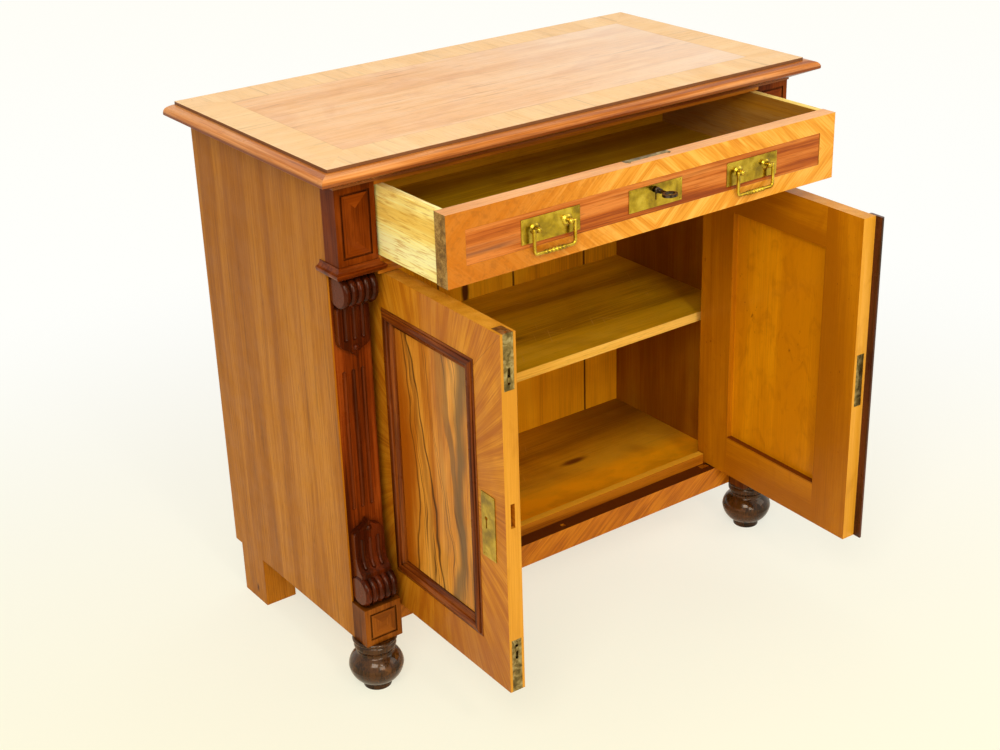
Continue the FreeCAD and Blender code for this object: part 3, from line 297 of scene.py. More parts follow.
def bottom_pine(tree):
    colour, height = old_pine(grain_to_x, (0.9, 0.2, 0), knot=bottom_knot)(tree)
    colour = scratches(tree, colour, 0.4)
    x, y = at(tree, "X"), at(tree, "Y")
    # Painted shade: the board darkens towards its far right corner.
    far_right_shade = times(tree, ranged(tree, x, 0.05, 0.4), ranged(tree, y, 0.12, 0.32, stop=0.75))
    colour = laid(tree, far_right_shade, colour, bottom_corner_shade)
    # Along the front the board turns a brighter orange in patches.
    patches = ranged(tree, blotches(tree, (14, 22, 14), 4.0), 0.35, 0.6, 0.65, 1.0)
    return laid(tree, times(tree, ranged(tree, y, 0.165, 0.115), patches), colour, bottom_front_orange), height


dress(["shelf"], surface("scratched_shelf_pine", shelf_board, rough=0.55, coat=0.04, relief=0.2))
dress(["bottom_board"], surface("worn_bottom_pine", bottom_pine, rough=0.5, coat=0.06, relief=0.2))
dress(["shelf_bearers"], surface("bearer_pine", old_pine(grain_to_y), rough=0.6, coat=0.0, relief=0.3))

# Back boards
# Upright plain pine boards across the back of the case, never polished, with dark joints between them.
# Inside they are brighter low down, and outside they are dusty.
back_swatches = ((172, 102, 4), (212, 136, 7), (226, 150, 10), (240, 168, 22))
back_bright = (255, 165, 10)
back_dust = (176, 132, 78)
back_joint = (48, 16, 2)
board_wide = 0.179


def back_board(tree):
    colour, height = old_pine(no_turn, (0.4, 0, 0.9), back_swatches)(tree)
    colour = laid(tree, ranged(tree, at(tree, "Z"), 0.45, 0.2, stop=0.4), colour, back_bright)
    colour = laid(tree, ranged(tree, facing(tree, "Y"), 0.5, 0.9, stop=0.6), colour, back_dust)
    from_joint = work(tree, "PINGPONG", apart(tree, at(tree, "X")), board_wide / 2)
    return laid(tree, ranged(tree, from_joint, 0.0034, 0.0012, stop=0.85), colour, back_joint), height


dress(["back_boards"], surface("back_board_pine", back_board, rough=0.62, coat=0.0, relief=0.35))

# Apron rail
# A pine rail under the doors, its front face veneered in walnut laid on the slant.
# Its top, where the doors shut over it, is stained dark.
apron_swatches = ((152, 80, 4), (172, 94, 6), (184, 104, 9), (198, 118, 15))
apron_top = (78, 32, 4)


def flat(tree, across, along):
    """Two flat coordinates as a place, with the second one along the grain."""
    return add(tree, "CombineXYZ", {0: across, 2: along}).outputs[0]


def flat_veneer(tree, across, along, lean, swatches, contrast=0.16, cells=(90, 90, 7)):
    """Veneer read on two flat coordinates, with its grain at a lean to the second one."""
    way = grain_way(tree, (0, lean, 0), (0.13, 0.0, 0.29), flat(tree, across, along))
    return timber(tree, way, swatches, cells, rings=5.0, ring_share=contrast, fibre_share=0.3, pore=0.14)


def apron_front(tree):
    colour, height = flat_veneer(tree, at(tree, "X"), at(tree, "Z"), -0.9, apron_swatches)
    return laid(tree, ranged(tree, facing(tree, "Z"), 0.6, 0.9), colour, apron_top), height


dress(["apron_rail"], surface("slanted_apron_veneer", apron_front, rough=0.4, coat=0.15))

# Door stop lip, drawer rail, top rail and drawer runners
# Straight pine strips planed and glued inside the front of the case, the grain along each one.
# The rails are painted darker as shade; the lip's front is stained and darkened as painted shade, and its
# top and edges are worn and painted lighter as a highlight.
raw_swatches = ((172, 114, 30), (204, 146, 50), (216, 160, 64), (234, 182, 92))
raw_dirt = (128, 74, 12)
raw_knot = (130, 70, 16)
rail_shade_swatches = ((128, 66, 8), (166, 92, 14), (182, 106, 22), (198, 124, 36))
lip_swatches = ((96, 42, 3), (132, 66, 5), (152, 82, 7), (178, 104, 14))
lip_top_wear_and_light = (240, 178, 44)


def raw_pine(turn, shift=no_turn):
    def build(tree):
        way = grain_way(tree, turn, shift)
        colour, height = timber(tree, way, raw_swatches, (12, 12, 0.8), rings=10.0, pore=0.12)
        dirt = ranged(tree, blotches(tree, (26, 26, 14), 5.0, 0.6), 0.54, 0.7, stop=0.45)
        colour = laid(tree, dirt, colour, raw_dirt)
        return knots(tree, way, (9, 9, 2.6), 0.1, colour, raw_knot), height
    return build


def rail_shade_pine(tree):
    # Painted shade: the rails' darker colour stands for the shade they sit in.
    return timber(tree, grain_way(tree, grain_to_x, (0, 0.2, 0.6)), rail_shade_swatches)


def stop_lip(tree):
    colour, height = old_pine(grain_to_x, (0.1, 0.3, 0))(tree)
    # The front face is stained, and darkened further as painted shade.
    stain = timber(tree, grain_way(tree, grain_to_x), lip_swatches)[0]
    # The top face is lighter, partly wear and partly painted light.
    colour = laid(tree, ranged(tree, facing(tree, "Z"), 0.3, 0.8, stop=0.8), colour, lip_top_wear_and_light)
    return laid(tree, ranged(tree, facing(tree, "Y"), -0.5, -0.8), colour, stain), height


# Strong edge rubbing here is wear and also a painted highlight along the lip's edges.
lip_wood = surface("stop_lip_pine", stop_lip, rough=0.5, coat=0.06, relief=0.2, soften=0.0014, worn=0.9)
dress(["door_stop_lip"], lip_wood)
dress(["drawer_rail", "top_rail"], surface("shaded_rail_pine", rail_shade_pine))
runner_wood = surface("runner_pine", old_pine(grain_to_y, (0.2, 0, 0)), rough=0.6, coat=0.0, relief=0.3)
dress(["drawer_runners"], runner_wood)

# Pilasters
# Mahogany strips on the case's front corners, each with three stopped flutes, glossy with old polish.
# The polish has gone dark in the flutes, and they carry painted shade as well.
carved_swatches = ((62, 18, 2), (98, 36, 4), (116, 45, 7), (144, 64, 15))
carved_edges = dict(relief=0.1, soften=0.0005)


def carved_wood(tree):
    way = grain_way(tree, no_turn, (0.1, 0.2, 0))
    return timber(tree, way, carved_swatches, (20, 20, 2.2), rings=6.0, ring_share=0.2, fibre_share=0.25)


carved = surface(
    "polished_carved_mahogany", carved_wood, rough=0.3, coat=0.06, worn=0.35, deep=0.7, shine=0.1,
    **carved_edges,
)
dress(both("pilaster"), carved)

# Corbels
# Scroll brackets carved from the same mahogany: a reeded roll above a fluted tongue, turned over below.
# They are darker than the pilasters, with paler side cheeks.
corbel_swatches = ((32, 7, 1), (52, 14, 2), (66, 20, 3), (92, 33, 7))
corbel_cheek = (104, 44, 8)


def corbel_wood(tree):
    way = grain_way(tree, no_turn, (0.4, 0.1, 0))
    colour, height = timber(tree, way, corbel_swatches, (20, 20, 2.2), rings=6.0)
    cheek = ranged(tree, apart(tree, facing(tree, "X")), 0.86, 0.97, stop=0.7)
    return laid(tree, cheek, colour, corbel_cheek), height


corbels = surface(
    "reeded_corbel_mahogany", corbel_wood, rough=0.24, coat=0.14, worn=0.35, deep=0.8, shine=0.08,
    **carved_edges,
)
dress(both("upper_corbel") + both("lower_corbel"), corbels)

# Upper and base blocks
# Pine blocks veneered in front in four leaves that meet on the diagonals, with a groove cut round them.
# The upper pair is redder, the base pair browner.
block_middle_x = 0.43
leaf_half_wide = 0.022
upper_middle_z = 0.8355
upper_half_tall = 0.048
base_middle_z = 0.13275
base_half_tall = 0.0215
upper_swatches = ((70, 22, 1), (94, 35, 1), (106, 42, 3), (124, 54, 7))
base_swatches = ((88, 40, 3), (112, 56, 5), (124, 64, 9), (142, 78, 16))


def block_face(swatches, shift, middle_z, half_tall):
    def build(tree):
        figure = dict(cells=(18, 18, 3), rings=6.0, ring_share=0.22, fibre_share=0.24, pore=0.35)
        colour, height = timber(tree, grain_way(tree, no_turn, shift), swatches, **figure)
        level = timber(tree, grain_way(tree, grain_to_x, shift), swatches, **figure)[0]
        level = laid(tree, 0.16, level, scaled(swatches[-1], 1.2))
        from_middle_x = apart(tree, apart(tree, at(tree, "X")), block_middle_x)
        from_side = minus(tree, leaf_half_wide, from_middle_x)
        from_end = minus(tree, half_tall, apart(tree, at(tree, "Z"), middle_z))
        inside = ranged(tree, from_end, 0.0, 0.0004)
        at_end = ranged(tree, minus(tree, from_side, from_end), -0.0004, 0.0008)
        front = ranged(tree, facing(tree, "Y"), -0.7, -0.9)
        return laid(tree, times(tree, times(tree, at_end, inside), front), colour, level), height
    return build


upper_face = block_face(upper_swatches, (0.5, 0, 0), upper_middle_z, upper_half_tall)
base_face = block_face(base_swatches, (0, 0, 0.4), base_middle_z, base_half_tall)
block_finish = dict(coat=0.05, relief=0.12, deep=0.8)
upper_veneer = surface("upper_block_veneer", upper_face, rough=0.36, shine=0.06, **block_finish)
base_veneer = surface("base_block_veneer", base_face, rough=0.38, worn=0.3, shine=0.08, **block_finish)
dress(both("upper_block"), upper_veneer)
dress(both("base_block"), base_veneer)

# Capitals
# Short lengths of moulding mitred round the top of each pilaster, red-brown like the blocks above them.
# The cove between the two noses holds old wax, darkened further with painted shade.
capital_swatches = ((62, 18, 1), (90, 31, 2), (106, 41, 4), (132, 60, 12))


def capital_face(tree):
    return timber(tree, grain_way(tree, grain_to_x, (0, 0.1, 0.3)), capital_swatches, (24, 24, 2), rings=6.0)


capital_wood = surface(
    "capital_walnut", capital_face, rough=0.3, coat=0.15, worn=0.4, deep=0.6, shine=0.1, **carved_edges,
)
dress(both("capital"), capital_wood)

# Ball feet
# Turned beech with a ring at the neck and a groove near the top, blacked and polished.
# Brown wood shows through the black where feet and brooms have rubbed it.
foot_swatches = ((14, 5, 1), (28, 13, 3), (42, 21, 5), (74, 42, 14))
foot_bare = (118, 72, 30)


def ball_foot(tree):
    figure = dict(cells=(22, 22, 7), rings=6.0, ring_share=0.2, fibre_share=0.25)
    colour, height = timber(tree, grain_way(tree, no_turn), foot_swatches, **figure)
    bare = ranged(tree, blotches(tree, (30, 30, 55), 4.0, 0.6), 0.6, 0.75, stop=0.5)
    return laid(tree, bare, colour, foot_bare), height


foot_black = surface("blacked_ball_foot", ball_foot, rough=0.2, coat=0.4, relief=0.12, worn=0.5, deep=0.5)
dress(["ball_feet"], foot_black)

# Top board and its moulding
# A pine board with a walnut moulding mitred round three sides: a broad thumb-shaped nose over a fillet.
# The grain runs along each length of moulding, and its underside is painted dark as shade.
moulding_swatches = ((146, 72, 16), (182, 102, 32), (200, 120, 48), (222, 148, 80))
moulding_under_shade = (106, 42, 14)
case_half = 0.465
case_front = -0.0792


def top_moulding(tree):
    front, height = timber(tree, grain_way(tree, grain_to_x), moulding_swatches, (22, 22, 1.5))
    ends = timber(tree, grain_way(tree, grain_to_y), moulding_swatches, (22, 22, 1.5))[0]
    reach_side = minus(tree, apart(tree, at(tree, "X")), case_half)
    reach_front = minus(tree, case_front, at(tree, "Y"))
    colour = laid(tree, work(tree, "GREATER_THAN", reach_side, reach_front), front, ends)
    # Painted shade: faces that look downward are darkened.
    under = ranged(tree, facing(tree, "Z"), 0.6, -0.05, stop=0.8)
    return laid(tree, under, colour, moulding_under_shade), height


nose_wood = surface(
    "top_moulding_walnut", top_moulding, rough=0.32, coat=0.2, relief=0.12, worn=0.3, deep=0.8,
)
dress(["top_moulding"], nose_wood)
top_pine = raw_pine(grain_to_x, (0.2, 0, 0.5))
dress(["top_board"], surface("top_board_pine", top_pine, rough=0.55, coat=0.0, relief=0.25))

# Top panel
# A thin raised panel of faded walnut: a long-grained field with soft streaks in a paler cross-banded border.
# The border is mitred at the corners, the sun has faded all of it to peach, the field is painted lighter
# towards the right as a broad highlight, and the rim is painted brown as shade.
panel_half = 0.483
panel_front = -0.0972
panel_back = 0.3963
border = 0.07
field_swatches = ((228, 168, 111), (237, 181, 125), (241, 189, 135), (246, 199, 150))
field_streak = (176, 112, 72)
field_stain = (214, 148, 100)
field_highlight = (255, 250, 244)
border_swatches = ((240, 191, 129), (244, 197, 137), (246, 200, 141), (249, 206, 148))
border_seam = (176, 112, 66)
panel_rim_shade = (98, 46, 18)


def top_veneer(tree):
    x, y = at(tree, "X"), at(tree, "Y")
    way = grain_way(tree, grain_to_x, (0.05, 0.0, 0.0))
    figure = dict(cells=(15, 15, 1.3), rings=7.0, ring_share=0.2, fibre_share=0.3, pore=0.25)
    field, height = timber(tree, way, field_swatches, **figure)
    streak = ranged(tree, cloud(tree, way, (130, 130, 7), 4.0, 0.7), 0.57, 0.72, stop=0.6)
    where = ranged(tree, blotches(tree, (6, 9, 6)), 0.4, 0.62)
    field = laid(tree, times(tree, streak, where), field, field_streak)
    stain = ranged(tree, blotches(tree, (11, 14, 11), 5.0, 0.8), 0.5, 0.7, stop=0.3)
    field = laid(tree, stain, field, field_stain)
    # Painted highlight: the field is lightened towards the right.
    bleached = laid(tree, 1.0, field, field_highlight, "SCREEN")
    field = laid(tree, ranged(tree, x, -0.2, 0.5, stop=0.3), field, bleached)
    figure = dict(cells=(16, 16, 3), rings=5.0, ring_share=0.15, fibre_share=0.3, pore=0.25)
    long_band = timber(tree, grain_way(tree, grain_to_y), border_swatches, **figure)[0]
    end_band = timber(tree, grain_way(tree, grain_to_x), border_swatches, **figure)[0]
    from_end = minus(tree, panel_half, apart(tree, x))
    from_long = work(tree, "MINIMUM", minus(tree, y, panel_front), minus(tree, panel_back, y))
    band = laid(tree, work(tree, "LESS_THAN", from_end, from_long), long_band, end_band)
    from_edge = work(tree, "MINIMUM", from_end, from_long)
    colour = laid(tree, ranged(tree, from_edge, border + 0.0004, border - 0.0004), field, band)
    seam = ranged(tree, apart(tree, from_edge, border), 0.0011, 0.0003, stop=0.3)
    colour = laid(tree, seam, colour, border_seam)
    # Painted shade: the panel's edge faces are darkened.
    return laid(tree, ranged(tree, facing(tree, "Z"), 0.7, 0.4, stop=0.9), colour, panel_rim_shade), height


faded_veneer = surface("faded_top_veneer", top_veneer, rough=0.42, coat=0.12, relief=0.1, worn=0.3)
dress(["top_panel"], faded_veneer)

# Drawer box
# Pine sides and back lapped at the corners, straight from the saw, with a bottom held in grooves.
# The sides are bright yellow outside and keep the saw's marks; their inside has gone dark with age and
# carries painted shade, and the bottom is painted darker towards the right as shade.
saw_swatches = ((242, 196, 88), (254, 226, 128), (255, 238, 152), (255, 245, 178))
saw_mark = (206, 140, 36)
saw_grime = (196, 132, 40)
box_inside_age_and_shade = (126, 66, 2)
olive_swatches = ((184, 136, 12), (216, 170, 20), (228, 184, 28), (238, 196, 46))
olive_knot = (168, 116, 10)
olive_painted_shade = (148, 92, 10)


def sawn_pine(tree):
    way = grain_way(tree, grain_to_y, (0.6, 0.1, 0))
    colour, height = timber(tree, way, saw_swatches, (12, 12, 0.8), ring_share=0.2, pore=0.12)
    saw = cloud(tree, way, (300, 300, 26), 3.0, 0.3)
    colour = laid(tree, ranged(tree, saw, 0.5, 0.68, stop=0.6), colour, saw_mark)
    grime = ranged(tree, cloud(tree, way, (24, 24, 9), 5.0, 0.8), 0.55, 0.74, stop=0.4)
    colour = laid(tree, grime, colour, saw_grime)
    # Inner faces: darker with age, and darker still as painted shade.
    inner = laid(tree, 0.6, old_pine(grain_to_y, (0.3, 0, 0))(tree)[0], box_inside_age_and_shade)
    colour = laid(tree, times(tree, inward(tree), 0.9), colour, inner)
    return colour, work(tree, "ADD", height, times(tree, saw, 0.8))


def olive_board(tree):
    colour, height = old_pine(grain_to_x, (0, 0.5, 0.2), olive_swatches, olive_knot)(tree)
    # Painted shade: the bottom darkens towards the right.
    return laid(tree, ranged(tree, at(tree, "X"), -0.1, 0.3, stop=0.5), colour, olive_painted_shade), height


back_pine = old_pine(grain_to_x, (0.1, 0, 0.4))
dress(both("drawer_side"), surface("sawn_drawer_pine", sawn_pine, rough=0.6, coat=0.0, relief=0.4))
dress(["drawer_back"], surface("drawer_back_pine", back_pine, rough=0.6, coat=0.0, relief=0.4))
dress(["drawer_bottom"], surface("dark_drawer_bottom", olive_board, rough=0.62, coat=0.0, relief=0.3))

# Drawer front
# Thick pine faced with walnut: a redder long-grained field inside a banding laid on the slant and mitred.
# Its ends show bare end grain, and its top edge carries a peach-coloured slip.
drawer_half = 0.393
drawer_low = 0.777
drawer_high = 0.8895
band_tall = 0.029
band_end = 0.034
red_swatches = ((130, 54, 10), (164, 80, 18), (180, 95, 28), (202, 120, 50))
red_smoke = (96, 58, 44)
band_swatches = ((206, 128, 30), (220, 146, 42), (228, 156, 54), (240, 172, 74))
band_left = (178, 94, 2)
band_mottle = (150, 84, 14)
end_swatches = ((104, 70, 20), (134, 96, 36), (148, 110, 48), (172, 134, 68))
slip_swatches = ((196, 120, 54), (220, 146, 76), (230, 158, 90), (244, 180, 116))


def drawer_face(tree):
    x, z = at(tree, "X"), at(tree, "Z")
    way = grain_way(tree, grain_to_x, (0, 0.3, 0.1))
    figure = dict(cells=(34, 34, 1.8), rings=6.0, ring_share=0.22, fibre_share=0.25, pore=0.35)
    field, height = timber(tree, way, red_swatches, **figure)
    low_left = times(tree, ranged(tree, x, -0.24, -0.3), ranged(tree, z, 0.838, 0.83))
    low_left = times(tree, low_left, ranged(tree, z, 0.815, 0.822))
    smoke = times(tree, low_left, ranged(tree, cloud(tree, way, (60, 60, 4)), 0.3, 0.6))
    field = laid(tree, times(tree, smoke, 0.75), field, red_smoke)
    across = apart(tree, x)
    tall = apart(tree, z, (drawer_low + drawer_high) / 2)
    band = flat_veneer(tree, across, tall, 0.85, band_swatches, 0.2)[0]
    to_left = ranged(tree, x, 0.05, -0.34, stop=0.85)
    band = laid(tree, to_left, band, band_left)
    mottle = ranged(tree, blotches(tree, (110, 110, 110), 4.0, 0.8), 0.45, 0.7, stop=0.6)
    band = laid(tree, times(tree, mottle, to_left), band, band_mottle)
    from_end = minus(tree, drawer_half, across)
    from_long = minus(tree, (drawer_high - drawer_low) / 2, tall)
    in_ends = ranged(tree, from_end, band_end - 0.0003, band_end + 0.0003)
    in_longs = ranged(tree, from_long, band_tall - 0.0003, band_tall + 0.0003)
    colour = laid(tree, times(tree, in_ends, in_longs), band, field)
    figure = dict(cells=(70, 70, 50), rings=3.0, ring_share=0.2, fibre_share=0.3, pore=0.2)
    end_grain = timber(tree, grain_way(tree, grain_to_x), end_swatches, **figure)[0]
    colour = laid(tree, ranged(tree, apart(tree, facing(tree, "X")), 0.6, 0.9), colour, end_grain)
    slip = timber(tree, way, slip_swatches)[0]
    colour = laid(tree, ranged(tree, facing(tree, "Z"), 0.6, 0.9), colour, slip)
    bare = raw_pine(grain_to_x)(tree)[0]
    behind = ranged(tree, facing(tree, "Y"), 0.6, 0.9)
    below = ranged(tree, facing(tree, "Z"), -0.6, -0.9)
    return laid(tree, work(tree, "MAXIMUM", behind, below), colour, bare), height


banded_veneer = surface(
    "banded_drawer_veneer", drawer_face, rough=0.38, coat=0.15, relief=0.12, worn=0.3, deep=0.3,
)
dress(["drawer_front"], banded_veneer)

# Brass handles, escutcheons and their pins
# Stamped and lacquered brass plates, cast bosses and bails with a beaded grip, held by small brass pins.
# The lacquer has yellowed, and dirt lies round the bosses and in the beads, deepened with painted shade.
brass_swatches = ((132, 106, 12), (182, 150, 26), (214, 184, 58))
brass_spots = (84, 60, 22)
plate_face = -0.2624
metal_finish = dict(soften=0.0004, metal=1.0)
pin_radius = 0.0012
pin_inset = 0.0035
handle_x = 0.205
handle_z = 0.832
handle_half = (0.055, 0.0195)
escutcheon_z = 0.8325
escutcheon_half = (0.054, 0.0185)
screw_radius = 0.0027
screw_rise = 0.0005
slot_half = 0.0005


def old_brass(tree):
    patches = ranged(tree, blotches(tree, (40, 40, 40), 4.0, 0.3), 0.25, 0.75)
    spots = ranged(tree, blotches(tree, (420, 420, 420)), 0.66, 0.76, stop=0.35)
    colour = laid(tree, spots, ramp(tree, patches, brass_swatches), brass_spots)
    return colour, blotches(tree, (900, 900, 60), 2.0)


brass = surface(
    "lacquered_brass", old_brass, rough=0.27, coat=0.3, relief=0.08, worn=0.6, deep=0.7, **metal_finish,
)
brass_nodes = ["drawer_handle_plates", "left_bail", "right_bail", "drawer_escutcheon", "case_hinge_plates"]
brass_nodes += both("door_escutcheon") + both("door_hinge_plates")
dress(brass_nodes, brass)


def begin():
    bpy.ops.object.select_all(action="DESELECT")


def pin_head():
    """A small domed pin: the cap of a ball, drawn down to a rim."""
    begin()
    bpy.ops.mesh.primitive_uv_sphere_add(segments=16, ring_count=8, radius=pin_radius)
    bpy.ops.object.mode_set(mode="EDIT")
    bpy.ops.mesh.select_all(action="SELECT")
    bpy.ops.mesh.bisect(plane_co=(0, 0, 0.0001), plane_no=(0, 0, 1), clear_inner=True, use_fill=True)
    bpy.ops.mesh.select_all(action="SELECT")
    bpy.ops.transform.resize(value=(1, 1, 0.7))
    bpy.ops.object.mode_set(mode="OBJECT")
    bpy.ops.object.shade_smooth_by_angle(angle=math.radians(40))
    return bpy.context.object


def screw_head():
    """A countersunk screw: a shallow disc with a slot pressed into its face."""
    begin()
    bpy.ops.mesh.primitive_cylinder_add(
        vertices=28, radius=screw_radius, depth=screw_rise * 2, location=(0, 0, 0),
    )
    bpy.ops.object.mode_set(mode="EDIT")
    for offset in (-slot_half, slot_half):
        bpy.ops.mesh.select_all(action="SELECT")
        bpy.ops.mesh.bisect(plane_co=(0, offset, 0), plane_no=(0, 1, 0))
    bpy.ops.mesh.select_all(action="DESELECT")
    bpy.ops.object.mode_set(mode="OBJECT")
    head = bpy.context.object
    for face in head.data.polygons:
        face.select = face.normal.z > 0.9 and abs(face.center.y) < slot_half
    bpy.ops.object.mode_set(mode="EDIT")
    bpy.ops.mesh.select_mode(type="FACE")
    bpy.ops.mesh.extrude_region_move(TRANSFORM_OT_translate={"value": (0, 0, -screw_rise * 1.2)})
    bpy.ops.object.mode_set(mode="OBJECT")
    bpy.ops.object.shade_smooth_by_angle(angle=math.radians(30))
    return head


def set_in(pattern, name, places, body, finish):
    """Copies a fastener to each place, facing out and turned there, and joins the copies as one piece."""
    copies = []
    for place, out, turn in places:
        copy = pattern.copy()
        copy.data = pattern.data.copy()
        bpy.context.scene.collection.objects.link(copy)
        toward = Vector(out).to_track_quat("Z", "Y").to_matrix().to_4x4()
        copy.matrix_world = Matrix.Translation(place) @ toward @ Matrix.Rotation(turn, 4, "Z")
        copies.append(copy)
    begin()
    for copy in copies:
        copy.select_set(True)
    bpy.context.view_layer.objects.active = copies[0]
    bpy.ops.object.join()
    bpy.ops.object.transform_apply(location=True, rotation=True, scale=True)
    piece = bpy.context.object
    piece.name = name
    piece.data.materials.clear()
    piece.data.materials.append(finish)
    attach(piece, body)


def corners(half_wide, half_tall):
    """Where the pins sit in a plate's corners, measured from its middle."""
    wide, tall = half_wide - pin_inset, half_tall - pin_inset
    return [(way * wide, up * tall) for way in (-1, 1) for up in (-1, 1)]


pin = pin_head()
pin_places = []
for middle_x, middle_z, half in (
    (-handle_x, handle_z, handle_half),
    (handle_x, handle_z, handle_half),
    (0, escutcheon_z, escutcheon_half),
):
    for across, up in corners(*half):
        pin_places.append(((middle_x + across, plate_face, middle_z + up), (0, -1, 0), 0))
set_in(pin, "drawer_plate_pins", pin_places, "drawer", brass)

# Drawer lock and key
# A steel lock case with its selvedge let into the drawer's top edge, and a dark iron key left in it.
# Two steel screws hold the selvedge down.
steel_swatches = ((92, 78, 44), (138, 118, 70), (176, 160, 112))
steel_rust = (92, 60, 30)
key_swatches = ((26, 20, 16), (54, 44, 36), (88, 76, 64))
screw_out = 0.04
selvedge_middle = -0.2457
selvedge_top = drawer_high + 0.0001


def old_steel(tree):
    patches = ranged(tree, blotches(tree, (90, 90, 90), 4.0, 0.6), 0.3, 0.7)
    rust = ranged(tree, blotches(tree, (220, 220, 220), 4.0), 0.62, 0.74, stop=0.6)
    colour = laid(tree, rust, ramp(tree, patches, steel_swatches), steel_rust)
    return colour, blotches(tree, (700, 700, 80), 2.0)


def key_iron(tree):
    patches = ranged(tree, blotches(tree, (140, 140, 140), 4.0), 0.3, 0.7)
    return ramp(tree, patches, key_swatches), blotches(tree, (900, 900, 900))


steel = surface(
    "tarnished_steel", old_steel, rough=0.36, coat=0.0, relief=0.1, worn=0.4, deep=0.6, **metal_finish,
)
iron = surface("dark_key_iron", key_iron, rough=0.34, worn=0.7, deep=0.4, **metal_finish)
dress(["drawer_lock", "drawer_bolt"], steel)
dress(["drawer_key"], iron)
screw = screw_head()
selvedge_screws = [
    ((way * screw_out, selvedge_middle, selvedge_top), (0, 0, 1), 0.4 + way) for way in (-1, 1)
]
set_in(screw, "drawer_lock_screws", selvedge_screws, "drawer", steel)

# Door frames
# Pine stiles and rails, veneered outside with walnut whose figure fans out from the middle of each door.
# The free edges are bare yellow pine, and the insides are stained ochre. The veneer is painted darker
# towards the bottom and along the hinge stile as shade.
door_pivot_x = 0.363
door_pivot_y = -0.0192
door_angles = {-1: math.radians(-91.0), 1: math.radians(88.4)}
door_edge_y = -0.381
door_middle_z = 0.444
door_half_wide = 0.196
door_half_tall = 0.301
stile_wide = 0.082
rail_tall = 0.076
frame_swatches = ((174, 96, 6), (192, 114, 12), (203, 126, 18), (216, 142, 32))
frame_shade = (166, 88, 16)
frame_low_shade = (134, 66, 10)
frame_hinge_shade = (108, 54, 8)
frame_seam = (104, 52, 10)
frame_inside = ((164, 94, 3), (178, 106, 4), (186, 113, 5), (196, 122, 9))
frame_sill = (108, 48, 6)
edge_tints = {-1: (204, 134, 24), 1: (222, 146, 18)}
inside_mottle = (160, 88, 3)
inside_specks = (112, 44, 3)


def on_door(side, x, y, z):
    """A point of a shut door, carried to where the open door is at rest."""
    pivot = Vector((side * door_pivot_x, door_pivot_y, 0))
    return Matrix.Rotation(door_angles[side], 4, "Z") @ (Vector((x, y, z)) - pivot) + pivot


def turned_with_door(side, way):
    return Matrix.Rotation(door_angles[side], 4, "Z") @ Vector(way)


def stained_inside(tree, turn, swatches):
    """The colour of a door's inner side."""
    way = grain_way(tree, turn, (0.15, 0.4, 0.2))
    colour = timber(tree, way, swatches, rings=6.0, ring_share=0.14, fibre_share=0.18, pore=0.14)[0]
    mottle = ranged(tree, blotches(tree, (30, 30, 18), 5.0, 1.2), 0.48, 0.72, stop=0.35)
    colour = laid(tree, mottle, colour, inside_mottle)
    specks = ranged(tree, blotches(tree, (150, 150, 90), 2.0), 0.66, 0.74, stop=0.6)
    where = ranged(tree, blotches(tree, (7, 7, 7), 2.0), 0.5, 0.62)
    return laid(tree, times(tree, specks, where), colour, inside_specks)


def door_frame(side):
    def build(tree):
        from_free = minus(tree, at(tree, "Y"), door_edge_y)
        rise = minus(tree, at(tree, "Z"), door_middle_z)
        across = apart(tree, from_free, door_half_wide)
        up = apart(tree, rise)
        fan = times(tree, work(tree, "ARCTAN2", up, across), 0.3)
        squares = [work(tree, "POWER", value, 2.0) for value in (across, up)]
        from_middle = work(tree, "SQRT", work(tree, "ADD", *squares))
        face, height = flat_veneer(tree, fan, from_middle, 0.0, frame_swatches, 0.22, (52, 52, 4.5))
        shade = ranged(tree, blotches(tree, (11, 11, 7), 3.0, 1.0), 0.35, 0.65)
        face = laid(tree, times(tree, shade, 0.4), face, frame_shade)
        # Painted shade: the veneer darkens towards the bottom of the door.
        face = laid(tree, ranged(tree, rise, -0.12, -0.34, stop=0.45), face, frame_low_shade)
        # Painted shade: a darker strip along the hinge stile.
        face = laid(tree, ranged(tree, from_free, 0.31, 0.37, stop=0.45), face, frame_hinge_shade)
        from_edge = minus(tree, door_half_wide, across)
        mitre = minus(tree, from_edge, minus(tree, door_half_tall, up))
        for line in (mitre, rise):
            seam = ranged(tree, apart(tree, line), 0.0009, 0.0002, stop=0.5)
            face = laid(tree, seam, face, frame_seam)
        upright = stained_inside(tree, no_turn, frame_inside)
        level = stained_inside(tree, grain_to_y, frame_inside)
        rails = work(tree, "GREATER_THAN", up, door_half_tall - rail_tall)
        stiles = work(tree, "GREATER_THAN", across, door_half_wide - stile_wide)
        inner = laid(tree, times(tree, rails, minus(tree, 1.0, stiles)), upright, level)
        sill = times(tree, ranged(tree, facing(tree, "Z"), 0.6, 0.9), work(tree, "LESS_THAN", rise, 0.0))
        inner = laid(tree, sill, inner, frame_sill)
        edge = laid(tree, 0.55, raw_pine(no_turn, (0.1, 0.1, 0))(tree)[0], edge_tints[side])
        at_sides = work(tree, "GREATER_THAN", across, door_half_wide - 0.006)
        at_ends = work(tree, "GREATER_THAN", up, door_half_tall - 0.004)
        outward = times(tree, facing(tree, "X"), side)
        not_back = minus(tree, 1.0, ranged(tree, outward, -0.6, -0.9))
        rim = times(tree, work(tree, "MAXIMUM", at_sides, at_ends), not_back)
        colour = laid(tree, rim, inner, edge)
        return laid(tree, ranged(tree, outward, 0.6, 0.9), colour, face), height
    return build


for side, name in ((-1, "left"), (1, "right")):
    frame_wood = surface(
        name + "_door_frame_wood", door_frame(side), rough=0.4, coat=0.15, relief=0.12, worn=0.3,
    )
    dress([name + "_door_frame"], frame_wood)

